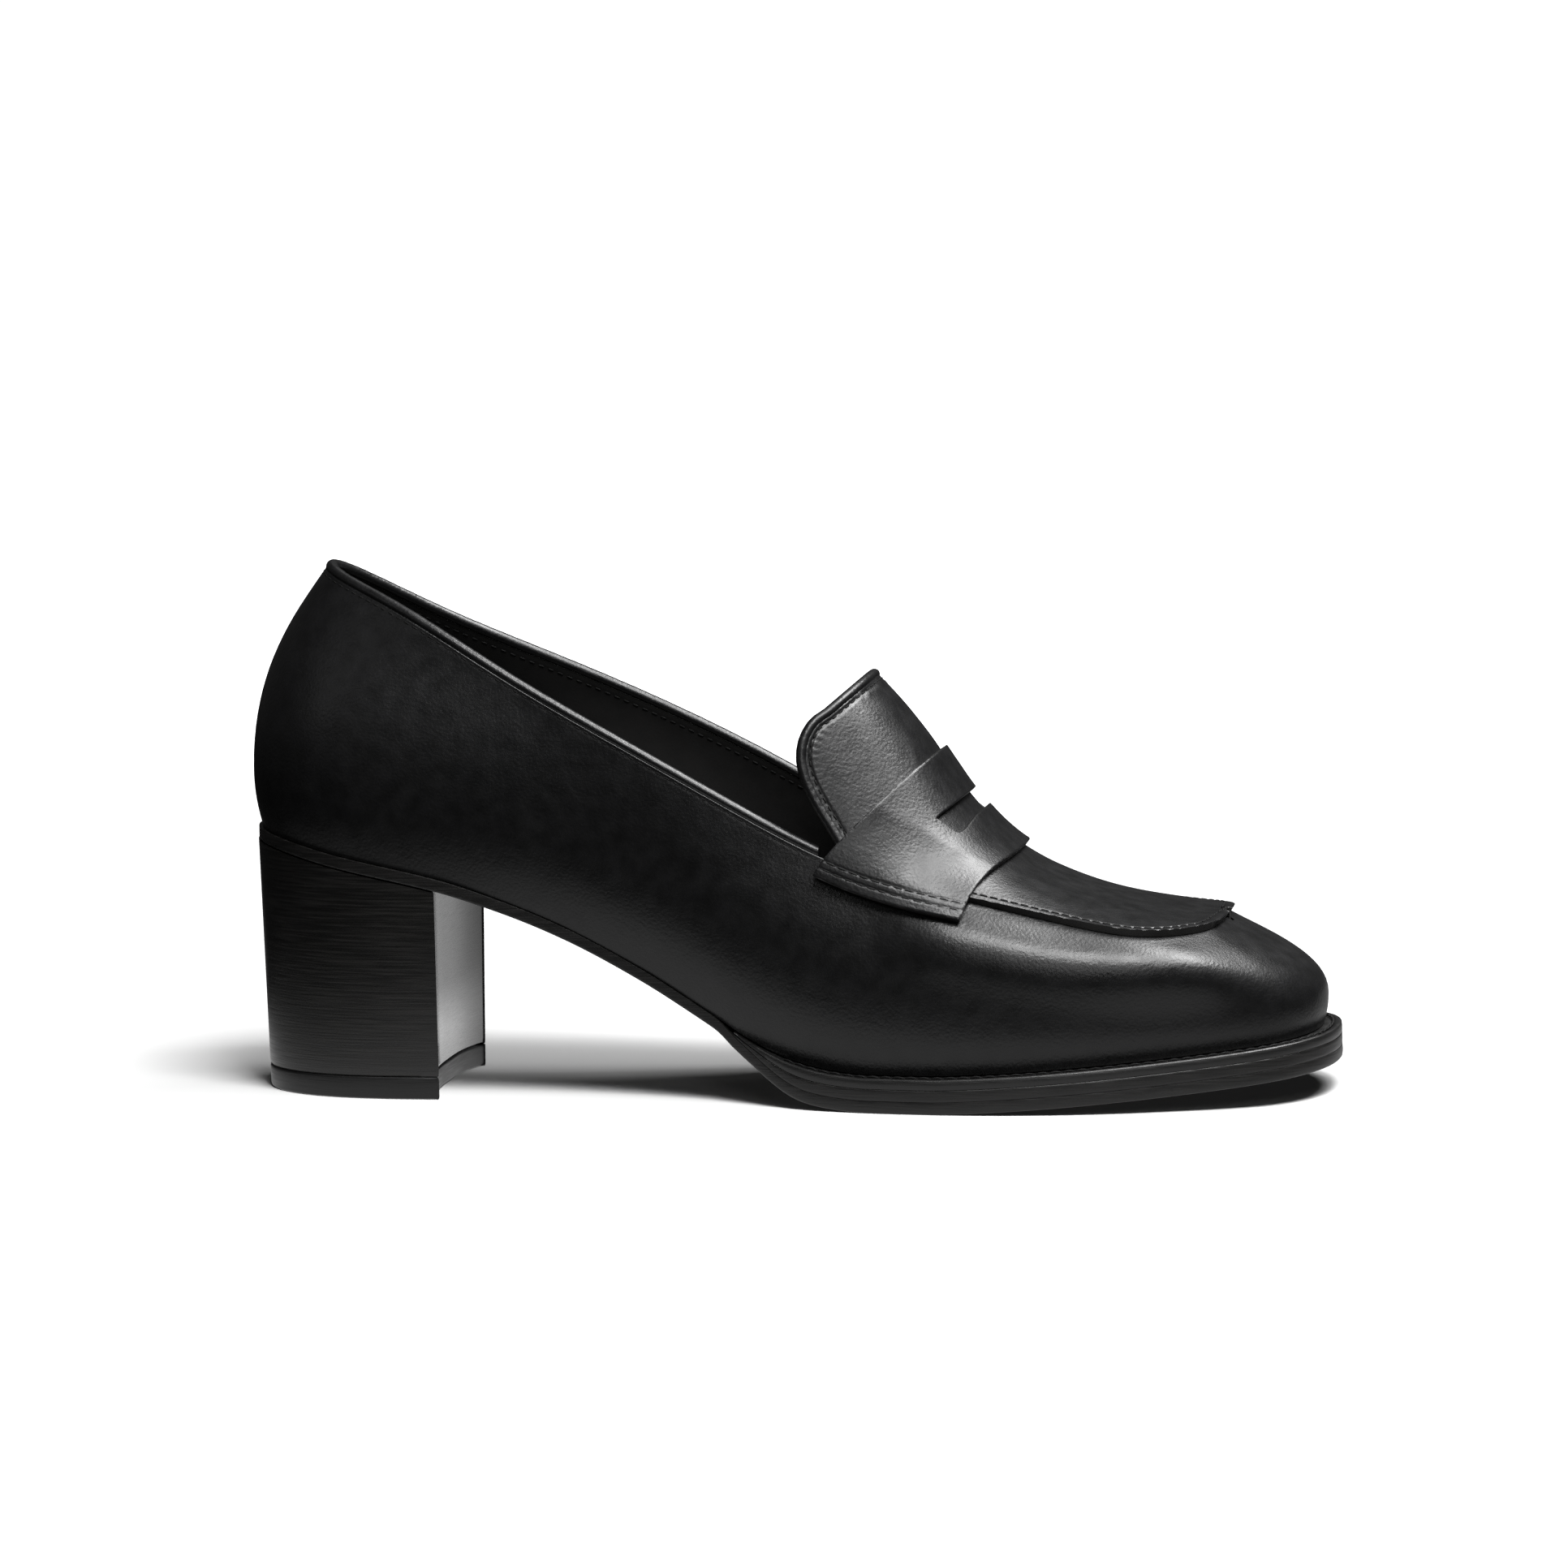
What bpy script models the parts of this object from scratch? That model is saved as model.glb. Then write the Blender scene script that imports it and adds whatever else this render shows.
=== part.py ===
"""Loafer pump: a right shoe with a block heel, standing empty on its sole.

Units are metres, +X points to the toe, +Z up, and the outer (lateral) side of the foot is on -Y.
The upper is a loft between three closed loops: the feather line where it meets the sole, its widest
line, and its top line. The top line is the collar's rim at the back and the apron's seam in front.
Above the top line, cross-sections rise to the ridge of the instep: that is the surface that the
upper's vamp, the apron with its tongue, and the saddle strap all follow, each at its own height.
"""

import math

import bmesh
import bpy
import numpy as np

# Driving sizes of the last
LAST_LENGTH = 0.2400
BALL_WIDTH = 0.0755
SEAT_WIDTH = 0.0540
SEAT_RISE = 0.0513
TOE_SPRING = 0.0070
BACK_HEIGHT = 0.0603
CROWN = 0.0370

# Driving sizes of the pieces
UPPER_WALL = 0.0018
LASTING_MARGIN = 0.0070
APRON_THICKNESS = 0.0014
STRAP_THICKNESS = 0.0016
BINDING_DIAMETER = 0.0026
TONGUE_BINDING_DIAMETER = 0.0024
INSOLE_THICKNESS = 0.0022
OUTSOLE_THICKNESS = 0.0026
MIDSOLE_THICKNESS = 0.00225
WELT_THICKNESS = 0.00225
WELT_WIDTH = 0.0130
WELT_EDGE = 0.0040
WAIST_EDGE = 0.0004
SEAT_EDGE = 0.0009
HEEL_LENGTH = 0.0463
HEEL_BASE_WIDTH = 0.0510
HEEL_BACK_RAKE = 0.0015
BREAST_HOLLOW = 0.0032
LIFT_THICKNESS = 0.0050
INSOLE_CLEARANCE = 0.0014
GAP = 0.0003
COVER_GAP = 0.0004

# Finishes: name, base colour, roughness
CALF = ("black_calf", (0.012, 0.012, 0.013), 0.42)
INKED_EDGE = ("inked_edge", (0.014, 0.013, 0.013), 0.5)
STACK = ("stacked_leather", (0.014, 0.013, 0.013), 0.35)
TOP_PIECE = ("top_piece", (0.010, 0.010, 0.010), 0.6)
SOCK = ("sock_leather", (0.02, 0.019, 0.018), 0.6)

# Counts that set how finely the surfaces are cut
COLUMNS = 64
WALL_ROWS = 9
ACROSS = 18
TONGUE_LINES = 14
APRON_LINES = 17
STRAP_ALONG = 3

# Sections of the last, from the heel's back to the toe's tip. Each row holds, as shares:
# x of LAST_LENGTH, y of half the local width (lateral, medial; the lateral side counts as negative),
# and heights of BACK_HEIGHT above the feather line. Bulge is the share of BALL_WIDTH by which the
# widest line stands outside the feather line. Lean is the top edge's angle from upright, in degrees.
SECTION_COLUMNS = (
    "foot_x", "foot_lat", "foot_med", "top_x", "top_lat", "top_med",
    "rise_lat", "rise_med", "bulge_lat", "bulge_med", "bulge_rise", "lean", "cap_lean",
)
SECTIONS = (
    (0.0100, 0.000, 0.000, 0.0730, 0.000, 0.000, 1.000, 1.000, 0.022, 0.022, 0.21, 36, 36),
    (0.0250, 0.500, 0.500, 0.0900, 0.315, 0.315, 0.985, 0.977, 0.025, 0.025, 0.22, 33, 33),
    (0.0710, 0.852, 0.845, 0.1330, 0.574, 0.593, 0.950, 0.909, 0.028, 0.029, 0.23, 26, 26),
    (0.1540, 1.000, 0.980, 0.1920, 0.796, 0.796, 0.886, 0.837, 0.028, 0.032, 0.26, 18, 18),
    (0.2750, 0.872, 0.776, 0.2830, 0.873, 0.873, 0.803, 0.806, 0.046, 0.060, 0.33, 10, 10),
    (0.3830, 0.768, 0.580, 0.3830, 0.862, 0.846, 0.786, 0.832, 0.060, 0.093, 0.37, 8, 8),
    (0.4790, 0.790, 0.652, 0.4790, 0.820, 0.797, 0.813, 0.879, 0.053, 0.085, 0.34, 9, 9),
    (0.5750, 0.876, 0.849, 0.5750, 0.776, 0.755, 0.745, 0.798, 0.036, 0.046, 0.26, 16, 18),
    (0.6790, 0.935, 1.060, 0.6790, 0.776, 0.820, 0.633, 0.650, 0.026, 0.022, 0.19, 38, 46),
    (0.7960, 0.880, 1.030, 0.7790, 0.740, 0.845, 0.512, 0.500, 0.024, 0.020, 0.16, 54, 70),
    (0.8960, 0.700, 0.930, 0.8540, 0.690, 0.800, 0.441, 0.435, 0.021, 0.021, 0.14, 62, 78),
    (0.9660, 0.460, 0.740, 0.8980, 0.437, 0.620, 0.4245, 0.420, 0.017, 0.017, 0.12, 61, 80),
    (0.9900, 0.210, 0.480, 0.9080, 0.270, 0.430, 0.428, 0.427, 0.014, 0.014, 0.11, 61, 80),
    (0.9980, -0.119, 0.119, 0.9110, -0.085, 0.085, 0.433, 0.433, 0.013, 0.013, 0.11, 61, 80),
)

# The bottom's profile: share of LAST_LENGTH, and share of SEAT_RISE above the forepart.
BOTTOM = (
    (-0.020, 1.010), (0.000, 1.000), (0.100, 0.905), (0.195, 0.809), (0.256, 0.712), (0.311, 0.603),
    (0.382, 0.427), (0.446, 0.244), (0.485, 0.130), (0.530, 0.044), (0.570, 0.009), (0.600, 0.000),
    (0.700, 0.000), (1.040, 0.000),
)
SPRING_START = 0.660
SPRING_END = 1.021
SPRING_POWER = 1.3
WEDGE_START = 0.452
WEDGE_END = 0.545
WEDGE_LEAST = 0.08

# The instep's ridge: share of LAST_LENGTH, share of CROWN above the top line, and y as a share of half
# the ball's width. The first rows are above the opening, where only the tongue reaches.
RIDGE = (
    (0.460, 1.320, 0.00), (0.500, 1.215, 0.00), (0.542, 1.135, 0.01), (0.583, 1.000, 0.03),
    (0.625, 0.768, 0.04), (0.667, 0.445, 0.05), (0.708, 0.225, 0.06), (0.742, 0.136, 0.07),
    (0.792, 0.092, 0.08), (0.854, 0.060, 0.085), (0.883, 0.032, 0.085), (0.911, 0.000, 0.085),
)

# Where the pieces of the top end, as shares of LAST_LENGTH
THROAT_SIDE = 0.578
THROAT_RIDGE = 0.662
BINDING_END = 0.549
TONGUE_TOP = 0.5845
TONGUE_ROOT = 0.598

# The tongue's free edge in the side view, as shares of LAST_LENGTH along x, and of CROWN above the
# top line at the tongue's root: the end of its straight top edge, its rounded corner, and its side.
TONGUE_EDGE = (
    (0.5565, 0.900), (0.5460, 0.850), (0.5395, 0.770), (0.5380, 0.670), (0.5420, 0.565),
    (0.5525, 0.425), (0.5675, 0.275), (0.5830, 0.120), (0.5980, 0.000),
)

# The strap's edges in the side view: x as a share of LAST_LENGTH and height as a share of BACK_HEIGHT.
# The rear edge is straight. The front edge bends forward as it climbs.
STRAP_REAR = ((0.5500, 0.745), (0.6415, 1.110))
STRAP_FRONT = ((0.6850, 0.575), (0.6930, 0.655), (0.7200, 0.735), (0.7290, 0.752))

# Lines along the strap, from the ridge outwards: 0 at the ridge, 1 at the apron's edge. Past the last
# one it ends on the wall, lower at its front corner than at its rear one.
STRAP_LINES = (0, 0.15, 0.30, 0.42, 0.51, 0.58, 0.60, 0.68, 0.77, 0.86, 0.94, 1.01, 1.05, 1.09)
STRAP_RAISED = (1.01, 1.09)
STRAP_END_REAR = 1.12
STRAP_END_FRONT = 1.16

# The strap's slot: how far out it is, and where its rear and front edges lie between the strap's own.
SLOT = (
    (0.00, 0.340, 0.520), (0.15, 0.340, 0.505), (0.30, 0.340, 0.520), (0.51, 0.355, 0.575),
    (0.58, 0.370, 0.570), (0.60, 0.480, 0.480), (1.20, 0.500, 0.500),
)
SLOT_END = 0.60


def rows_of(table):
    """A table's columns as arrays."""
    return np.array(table, float).T


def monotone(knots, values, x):
    """Cubic through the knots that never overshoots, with straight ends."""
    step = np.diff(knots)
    slope = np.diff(values) / step
    tangent = np.zeros(len(knots))
    tangent[0], tangent[-1] = slope[0], slope[-1]
    same = slope[:-1] * slope[1:] > 0
    left = 2 * step[1:] + step[:-1]
    right = step[1:] + 2 * step[:-1]
    safe = np.where(same[:, None], np.stack([slope[:-1], slope[1:]], 1), 1.0)
    mean = (left + right) / (left / safe[:, 0] + right / safe[:, 1])
    tangent[1:-1] = np.where(same, mean, 0.0)
    x = np.clip(x, knots[0], knots[-1])
    i = np.clip(np.searchsorted(knots, x, side="right") - 1, 0, len(step) - 1)
    s = (x - knots[i]) / step[i]
    rise = values[i] * (1 + 2 * s) * (1 - s) ** 2 + values[i + 1] * s * s * (3 - 2 * s)
    return rise + step[i] * (tangent[i] * s * (1 - s) ** 2 - tangent[i + 1] * s * s * (1 - s))


class ClosedCurve:
    """A smooth closed cubic through rows of values, over a parameter that runs from 0 to 2."""

    def __init__(self, knots, values):
        self.knots = np.append(knots, 2.0)
        self.values = np.vstack([values, values[:1]])
        step = np.diff(self.knots)
        before = np.roll(step, 1)
        count = len(step)
        matrix = np.zeros((count, count))
        rows = np.arange(count)
        matrix[rows, rows] = 2 / before + 2 / step
        matrix[rows, (rows - 1) % count] += 1 / before
        matrix[rows, (rows + 1) % count] += 1 / step
        change = np.diff(self.values, axis=0)
        side = change / step[:, None] ** 2
        slopes = np.linalg.solve(matrix, 3 * (side + np.roll(side, 1, axis=0)))
        self.slopes = np.vstack([slopes, slopes[:1]])

    def __call__(self, t):
        t = np.mod(np.asarray(t, float), 2.0)
        i = np.clip(np.searchsorted(self.knots, t, side="right") - 1, 0, len(self.knots) - 2)
        step = self.knots[i + 1] - self.knots[i]
        s = ((t - self.knots[i]) / step)[..., None]
        step = step[..., None]
        first = self.values[i] * (1 + 2 * s) * (1 - s) ** 2 + self.slopes[i] * step * s * (1 - s) ** 2
        last = self.values[i + 1] * s * s * (3 - 2 * s) - self.slopes[i + 1] * step * s * s * (1 - s)
        return first + last


def smooth_step(x, start, end):
    s = np.clip((x - start) / (end - start), 0, 1)
    return s * s * (3 - 2 * s)


def wedge(x):
    """How much of the forepart's welt and midsole lies under the upper at x, from 0 to 1."""
    return smooth_step(x, WEDGE_START * LAST_LENGTH, WEDGE_END * LAST_LENGTH)


FOREPART = OUTSOLE_THICKNESS + MIDSOLE_THICKNESS + WELT_THICKNESS + 3 * GAP


def feather_z(x):
    """Height of the upper's underside above the floor."""
    share, rise = rows_of(BOTTOM)
    start, end = SPRING_START * LAST_LENGTH, SPRING_END * LAST_LENGTH
    spring = np.clip((x - start) / (end - start), 0, None) ** SPRING_POWER
    return FOREPART + SEAT_RISE * monotone(share, rise, x / LAST_LENGTH) + TOE_SPRING * spring


def half_width(x):
    """Half the width that the sections' y shares are shares of."""
    blend = np.clip((x / LAST_LENGTH - 0.2) / 0.4, 0, 1)
    return (SEAT_WIDTH + blend * (BALL_WIDTH - SEAT_WIDTH)) / 2


def section_loops():
    """Closed curve through the sections: foot x, y, then top x, y, z, bulge, its rise, and the leans."""
    table = dict(zip(SECTION_COLUMNS, rows_of(SECTIONS)))
    foot_x = table["foot_x"] * LAST_LENGTH
    top_x = table["top_x"] * LAST_LENGTH
    sides = []
    for sign, side in ((-1, "lat"), (1, "med")):
        foot_y = sign * table["foot_" + side] * half_width(foot_x)
        top_y = sign * table["top_" + side] * half_width(top_x)
        top_z = feather_z(top_x) + table["rise_" + side] * BACK_HEIGHT
        bulge = table["bulge_" + side] * BALL_WIDTH
        rise = table["bulge_rise"] * BACK_HEIGHT
        lean = np.radians(table["lean"])
        cap_lean = np.radians(table["cap_lean"])
        sides.append(np.stack([foot_x, foot_y, top_x, top_y, top_z, bulge, rise, lean, cap_lean], 1))
    lateral, medial = sides
    steps = [np.hypot(*np.diff(side[:, :2], axis=0).T) for side in sides]
    along = np.append(0, np.cumsum(sum(steps)))
    along /= along[-1]
    knots = np.concatenate([along, 2 - along[-2:0:-1]])
    return ClosedCurve(knots, np.vstack([lateral, medial[-2:0:-1]]))


LOOPS = section_loops()
FOOT_X, FOOT_Y, TOP_X, TOP_Y, TOP_Z, BULGE, BULGE_RISE, LEAN, CAP_LEAN = range(9)


def outward(t, x_column):
    """The horizontal unit normal of the foot loop or the top loop, pointing out of the shoe."""
    small = 1e-4
    along = LOOPS(t + small)[..., x_column:x_column + 2] - LOOPS(t - small)[..., x_column:x_column + 2]
    along /= np.linalg.norm(along, axis=-1, keepdims=True)
    return np.stack([-along[..., 1], along[..., 0]], -1) * -1


def bezier(a, b, c, d, s):
    s = s[..., None]
    return a * (1 - s) ** 3 + 3 * b * s * (1 - s) ** 2 + 3 * c * s * s * (1 - s) + d * s ** 3


def wall_point(t, v):
    """A point of the upper's outside between the feather line (v 0) and the top line (v 1)."""
    t, v = np.broadcast_arrays(np.asarray(t, float), np.asarray(v, float))
    row = LOOPS(t)
    out = outward(t, FOOT_X)
    foot_z = feather_z(row[..., FOOT_X])
    foot = np.concatenate([row[..., :2], foot_z[..., None]], -1)
    wide_xy = row[..., :2] + out * row[..., BULGE, None]
    wide = np.concatenate([wide_xy, (foot_z + row[..., BULGE_RISE])[..., None]], -1)
    top = row[..., TOP_X:TOP_Z + 1]
    lean = row[..., LEAN, None]
    top_out = outward(t, TOP_X)
    top_dir = np.concatenate([-top_out * np.sin(lean), np.cos(lean)], -1)
    up = np.array([0, 0, 1.0])
    low = row[..., BULGE_RISE, None]
    high = (top - wide)[..., 2:]
    reach = np.linalg.norm(top - wide, axis=-1, keepdims=True)
    foot_out = np.concatenate([out, np.zeros(out.shape[:-1] + (1,))], -1)
    start = foot + foot_out * row[..., BULGE, None] * 0.55 + up * low * 0.30
    low_part = bezier(foot, start, wide - up * low * 0.45, wide, np.clip(v / 0.25, 0, 1))
    upper_part = bezier(wide, wide + up * high * 0.45, top - top_dir * reach * 0.36, top,
                        np.clip((v - 0.25) / 0.75, 0, 1))
    return np.where(v[..., None] < 0.25, low_part, upper_part)


def t_at(x, column=TOP_X, medial=False):
    """The loop parameter where the foot or the top line reaches x on one side."""
    low, high = np.zeros_like(x), np.ones_like(x)
    for _ in range(40):
        middle = (low + high) / 2
        ahead = LOOPS(2 - middle if medial else middle)[..., column] > x
        high = np.where(ahead, middle, high)
        low = np.where(ahead, low, middle)
    return 2 - low if medial else low


def ridge_point(x):
    share, crown, side = rows_of(RIDGE)
    lateral = LOOPS(t_at(x))[..., TOP_Z]
    medial = LOOPS(t_at(x, medial=True))[..., TOP_Z]
    z = (lateral + medial) / 2 + monotone(share, crown, x / LAST_LENGTH) * CROWN
    return np.stack([x, monotone(share, side, x / LAST_LENGTH) * BALL_WIDTH / 2, z], -1)


def over_point(x, across):
    """A point of the surface over the instep. Across runs from -1, the lateral top line, through 0,
    the ridge, to 1, the medial top line, and past those it runs down the wall."""
    x, across = np.broadcast_arrays(np.asarray(x, float), np.asarray(across, float))
    medial = across > 0
    t = np.where(medial, t_at(x, medial=True), t_at(x))
    row = LOOPS(t)
    top = row[..., TOP_X:TOP_Z + 1]
    ridge = ridge_point(x)
    inward = np.where(medial, -1.0, 1.0)[..., None]
    lean = row[..., CAP_LEAN, None]
    start_dir = np.concatenate([0 * lean, inward * np.sin(lean), np.cos(lean)], -1)
    end_dir = np.concatenate([0 * lean, inward, 0 * lean], -1)
    chord = np.linalg.norm(ridge - top, axis=-1, keepdims=True)
    rise = np.clip(1 - np.abs(across), 0, 1)
    cap = bezier(top, top + start_dir * chord * 0.34, ridge - end_dir * chord * 0.34, ridge, rise)
    wall = wall_point(t, np.clip(2 - np.abs(across), 0, 1))
    return np.where((np.abs(across) > 1)[..., None], wall, cap)


def across_at_height(x, z, medial=False):
    """The across value at which the section at x reaches height z above the top line."""
    low, high = np.full_like(x, 0.0), np.full_like(x, 1.0)
    sign = 1.0 if medial else -1.0
    for _ in range(30):
        middle = (low + high) / 2
        above = over_point(x, sign * middle)[..., 2] > z
        low = np.where(above, middle, low)
        high = np.where(above, high, middle)
    return sign * (low + high) / 2


def over_normal(x, across, edge):
    """Outward unit normal of the surface over the instep. Edge is the last across value of the piece
    that follows it, so that the crease at the apron's seam isn't averaged into the apron."""
    small, little = 2e-4, 0.01
    x = np.minimum(x, LOOPS(1.0)[TOP_X] - 4 * small)
    across = np.clip(across, little - edge, edge - little)
    along = over_point(x + small, across) - over_point(x - small, across)
    side = over_point(x, across + little) - over_point(x, across - little)
    normal = np.cross(along, side)
    return normal / np.linalg.norm(normal, axis=-1, keepdims=True)


def lifted(x, across, height, edge=1.0):
    """Points at a height above the surface over the instep."""
    x, across = np.broadcast_arrays(x, across)
    return over_point(x, across) + over_normal(x, across, edge) * np.asarray(height)[..., None]


def material(name, colour, roughness):
    """One Principled BSDF for a piece."""
    made = bpy.data.materials.new(name)
    made.use_nodes = True
    shader = made.node_tree.nodes["Principled BSDF"]
    shader.inputs["Base Color"].default_value = (*colour, 1)
    shader.inputs["Roughness"].default_value = roughness
    shader.inputs["Metallic"].default_value = 0
    return made


def add_object(name, mesh, finish):
    made = bpy.data.objects.new(name, mesh)
    made.data.materials.append(material(f"{name}_{finish[0]}", *finish[1:]))
    made.parent = bpy.data.objects["shoe_origin"]
    bpy.context.scene.collection.objects.link(made)
    return made


def mesh_from(bm, name):
    bmesh.ops.remove_doubles(bm, verts=bm.verts, dist=1e-6)
    bmesh.ops.recalc_face_normals(bm, faces=bm.faces)
    mesh = bpy.data.meshes.new(name)
    bm.to_mesh(mesh)
    bm.free()
    mesh.shade_smooth()
    mesh.set_sharp_from_angle(angle=math.radians(40))
    return mesh


def grid_faces(bm, grid, closed=False, skip=lambda i, j: False):
    """Quads over a grid of points. A closed grid joins its last column to its first."""
    rows, columns = grid.shape[:2]
    verts = [[bm.verts.new(point) for point in row] for row in grid]
    for i in range(rows - 1):
        for j in range(columns if closed else columns - 1):
            if skip(i, j):
                continue
            k = (j + 1) % columns
            bm.faces.new((verts[i][j], verts[i][k], verts[i + 1][k], verts[i + 1][j]))
    return verts


def sheet(name, bm, thickness, finish):
    """An open sheet, its outside facing out, thickened inwards."""
    made = add_object(name, mesh_from(bm, name), finish)
    wall = made.modifiers.new("Wall", "SOLIDIFY")
    wall.thickness = thickness
    wall.offset = -1
    wall.use_even_offset = True
    return made


def shell(name, low, high, finish, skip=lambda i, j: False):
    """A piece of leather between two grids of points, its inner face and its outer one.
    Cells that skip picks are left open, with walls around them."""
    bm = bmesh.new()
    inner = grid_faces(bm, low, skip=skip)
    outer = grid_faces(bm, high, skip=skip)
    pairs = {}
    for inner_row, outer_row in zip(inner, outer):
        pairs.update(zip(inner_row, outer_row))
    rims = [edge for edge in bm.edges if edge.is_boundary and edge.verts[0] in pairs]
    for edge in rims:
        a, b = edge.verts
        bm.faces.new((a, b, pairs[b], pairs[a]))
    loose = [vert for vert in bm.verts if not vert.link_faces]
    bmesh.ops.delete(bm, geom=loose, context="VERTS")
    return add_object(name, mesh_from(bm, name), finish)


def tube(name, points, diameter, finish):
    """A round cord of leather along a line of points."""
    curve = bpy.data.curves.new(name, "CURVE")
    curve.dimensions = "3D"
    curve.bevel_depth = diameter / 2
    curve.bevel_resolution = 1
    curve.use_fill_caps = True
    spline = curve.splines.new("POLY")
    spline.points.add(len(points) - 1)
    for point, place in zip(spline.points, points):
        point.co = (*place, 1)
    return add_object(name, curve, finish)


def add_welt(side):
    """The strip of the welt round the forepart, open at the waist."""
    around = np.concatenate([side, 2 - side[-2::-1]])
    outer = loop_xy(around, sole_edge(around))
    inner = loop_xy(around, sole_edge(around) - WELT_WIDTH)
    top_z, bottom_z = layer_z(0.0, 0), layer_z(WELT_THICKNESS, 0)
    corners = []
    for plan, z_of in ((outer, bottom_z), (outer, top_z), (inner, top_z), (inner, bottom_z)):
        corners.append(np.column_stack([plan, z_of(plan[:, 0])]))
    bm = bmesh.new()
    verts = grid_faces(bm, np.stack(corners, 1), closed=True)
    bm.faces.new(verts[0])
    bm.faces.new(verts[-1][::-1])
    return add_object("welt", mesh_from(bm, "welt"), INKED_EDGE)


def loop_xy(t, edge):
    """The foot loop's plan points, moved outward by the edge's width at each."""
    row = LOOPS(t)
    return row[..., :2] + outward(t, FOOT_X) * np.asarray(edge)[..., None]


def sole_edge(t):
    """How far the sole reaches outside the feather line."""
    x = LOOPS(t)[..., FOOT_X] / LAST_LENGTH
    seat = SEAT_EDGE + (WAIST_EDGE - SEAT_EDGE) * smooth_step(x, 0.18, 0.28)
    return seat + (WELT_EDGE - WAIST_EDGE) * smooth_step(x, 0.44, 0.56)


def column_params():
    """Loop parameters of the columns: lateral side from heel to toe, and its mirror on the medial side."""
    side = np.linspace(0, 1, COLUMNS // 2 + 1)
    return side, np.concatenate([side, 2 - side[-2:0:-1]])


def plate(name, side, edge, top_z, bottom_z, finish):
    """A layer of the sole under the loop's columns: strips between its sides, above and below."""
    lateral = loop_xy(side, edge(side))
    medial = loop_xy(2 - side, edge(2 - side))
    bm = bmesh.new()
    faces = []
    for z_of in (top_z, bottom_z):
        grid = np.stack([np.column_stack([xy, z_of(xy[:, 0])]) for xy in (lateral, medial)], 1)
        verts = grid_faces(bm, grid)
        faces.append(verts)
    top, bottom = faces
    for i in range(len(side) - 1):
        for j in (0, 1):
            bm.faces.new((top[i][j], top[i + 1][j], bottom[i + 1][j], bottom[i][j]))
    bm.faces.new((top[0][0], top[0][1], bottom[0][1], bottom[0][0]))
    bm.faces.new((top[-1][0], top[-1][1], bottom[-1][1], bottom[-1][0]))
    return add_object(name, mesh_from(bm, name), finish)


def layer_z(leather, gaps):
    """Height of a layer's face under the upper: below this much leather and this many gaps, both of
    which thin out to nothing behind the forepart."""
    def z_of(x):
        parted = np.clip(wedge(x) / WEDGE_LEAST, 0, 1)
        return feather_z(x) - GAP - wedge(x) * leather - parted * gaps * GAP
    return z_of


def insole_low_z(x):
    """Height of the insole's underside: over the upper's wall, which is deeper where the last slopes."""
    small = 1e-3
    slope = (feather_z(x + small) - feather_z(x - small)) / (2 * small)
    return feather_z(x) + UPPER_WALL * np.hypot(1, slope) + GAP


def add_upper():
    side, around = column_params()
    bm = bmesh.new()
    margin = loop_xy(around, np.full(len(around), -LASTING_MARGIN))
    rows = [np.column_stack([margin, feather_z(margin[:, 0])])]
    for v in np.linspace(0, 1, WALL_ROWS) ** 1.15:
        rows.append(wall_point(around, v))
    grid_faces(bm, np.stack(rows), closed=True)

    top_x = LOOPS(side)[:, TOP_X]
    front = side[(top_x > THROAT_SIDE * LAST_LENGTH) & (side < 1)]
    front_x = LOOPS(front)[:, TOP_X]
    share = np.clip((front_x - front_x[0]) / (0.2 * LAST_LENGTH), 0, 1)
    skew = (THROAT_RIDGE - THROAT_SIDE) * LAST_LENGTH * (1 - share) ** 2
    across = np.linspace(-1, 1, ACROSS + 1)
    x = front_x[:, None] + skew[:, None] * (1 - np.abs(across))
    cap = over_point(x, np.broadcast_to(across, x.shape))
    verts = grid_faces(bm, cap)
    tip = bm.verts.new(LOOPS(1.0)[TOP_X:TOP_Z + 1])
    for a, b in zip(verts[-1], verts[-1][1:]):
        bm.faces.new((a, b, tip))
    return sheet("upper", bm, UPPER_WALL, CALF)


def smooth_through(knots, values, s):
    """Smooth curve through values that rise and fall, over rising knots."""
    slopes = np.gradient(values, knots)
    i = np.clip(np.searchsorted(knots, s, side="right") - 1, 0, len(knots) - 2)
    step = knots[i + 1] - knots[i]
    u = (s - knots[i]) / step
    first = values[i] * (1 + 2 * u) * (1 - u) ** 2 + slopes[i] * step * u * (1 - u) ** 2
    return first + values[i + 1] * u * u * (3 - 2 * u) - slopes[i + 1] * step * u * u * (1 - u)


def tongue_edge(count):
    """x and z of points down the tongue's free edge, as the side view shows it."""
    edge_x, edge_up = rows_of(TONGUE_EDGE)
    steps = np.hypot(np.diff(edge_x) * LAST_LENGTH, np.diff(edge_up) * CROWN)
    knots = np.append(0, np.cumsum(steps)) / steps.sum()
    s = np.linspace(0, 1, count)
    root_z = LOOPS(t_at(np.array(TONGUE_ROOT * LAST_LENGTH)))[TOP_Z]
    x = smooth_through(knots, edge_x, s) * LAST_LENGTH
    return x, root_z + smooth_through(knots, edge_up, s) * CROWN


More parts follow.
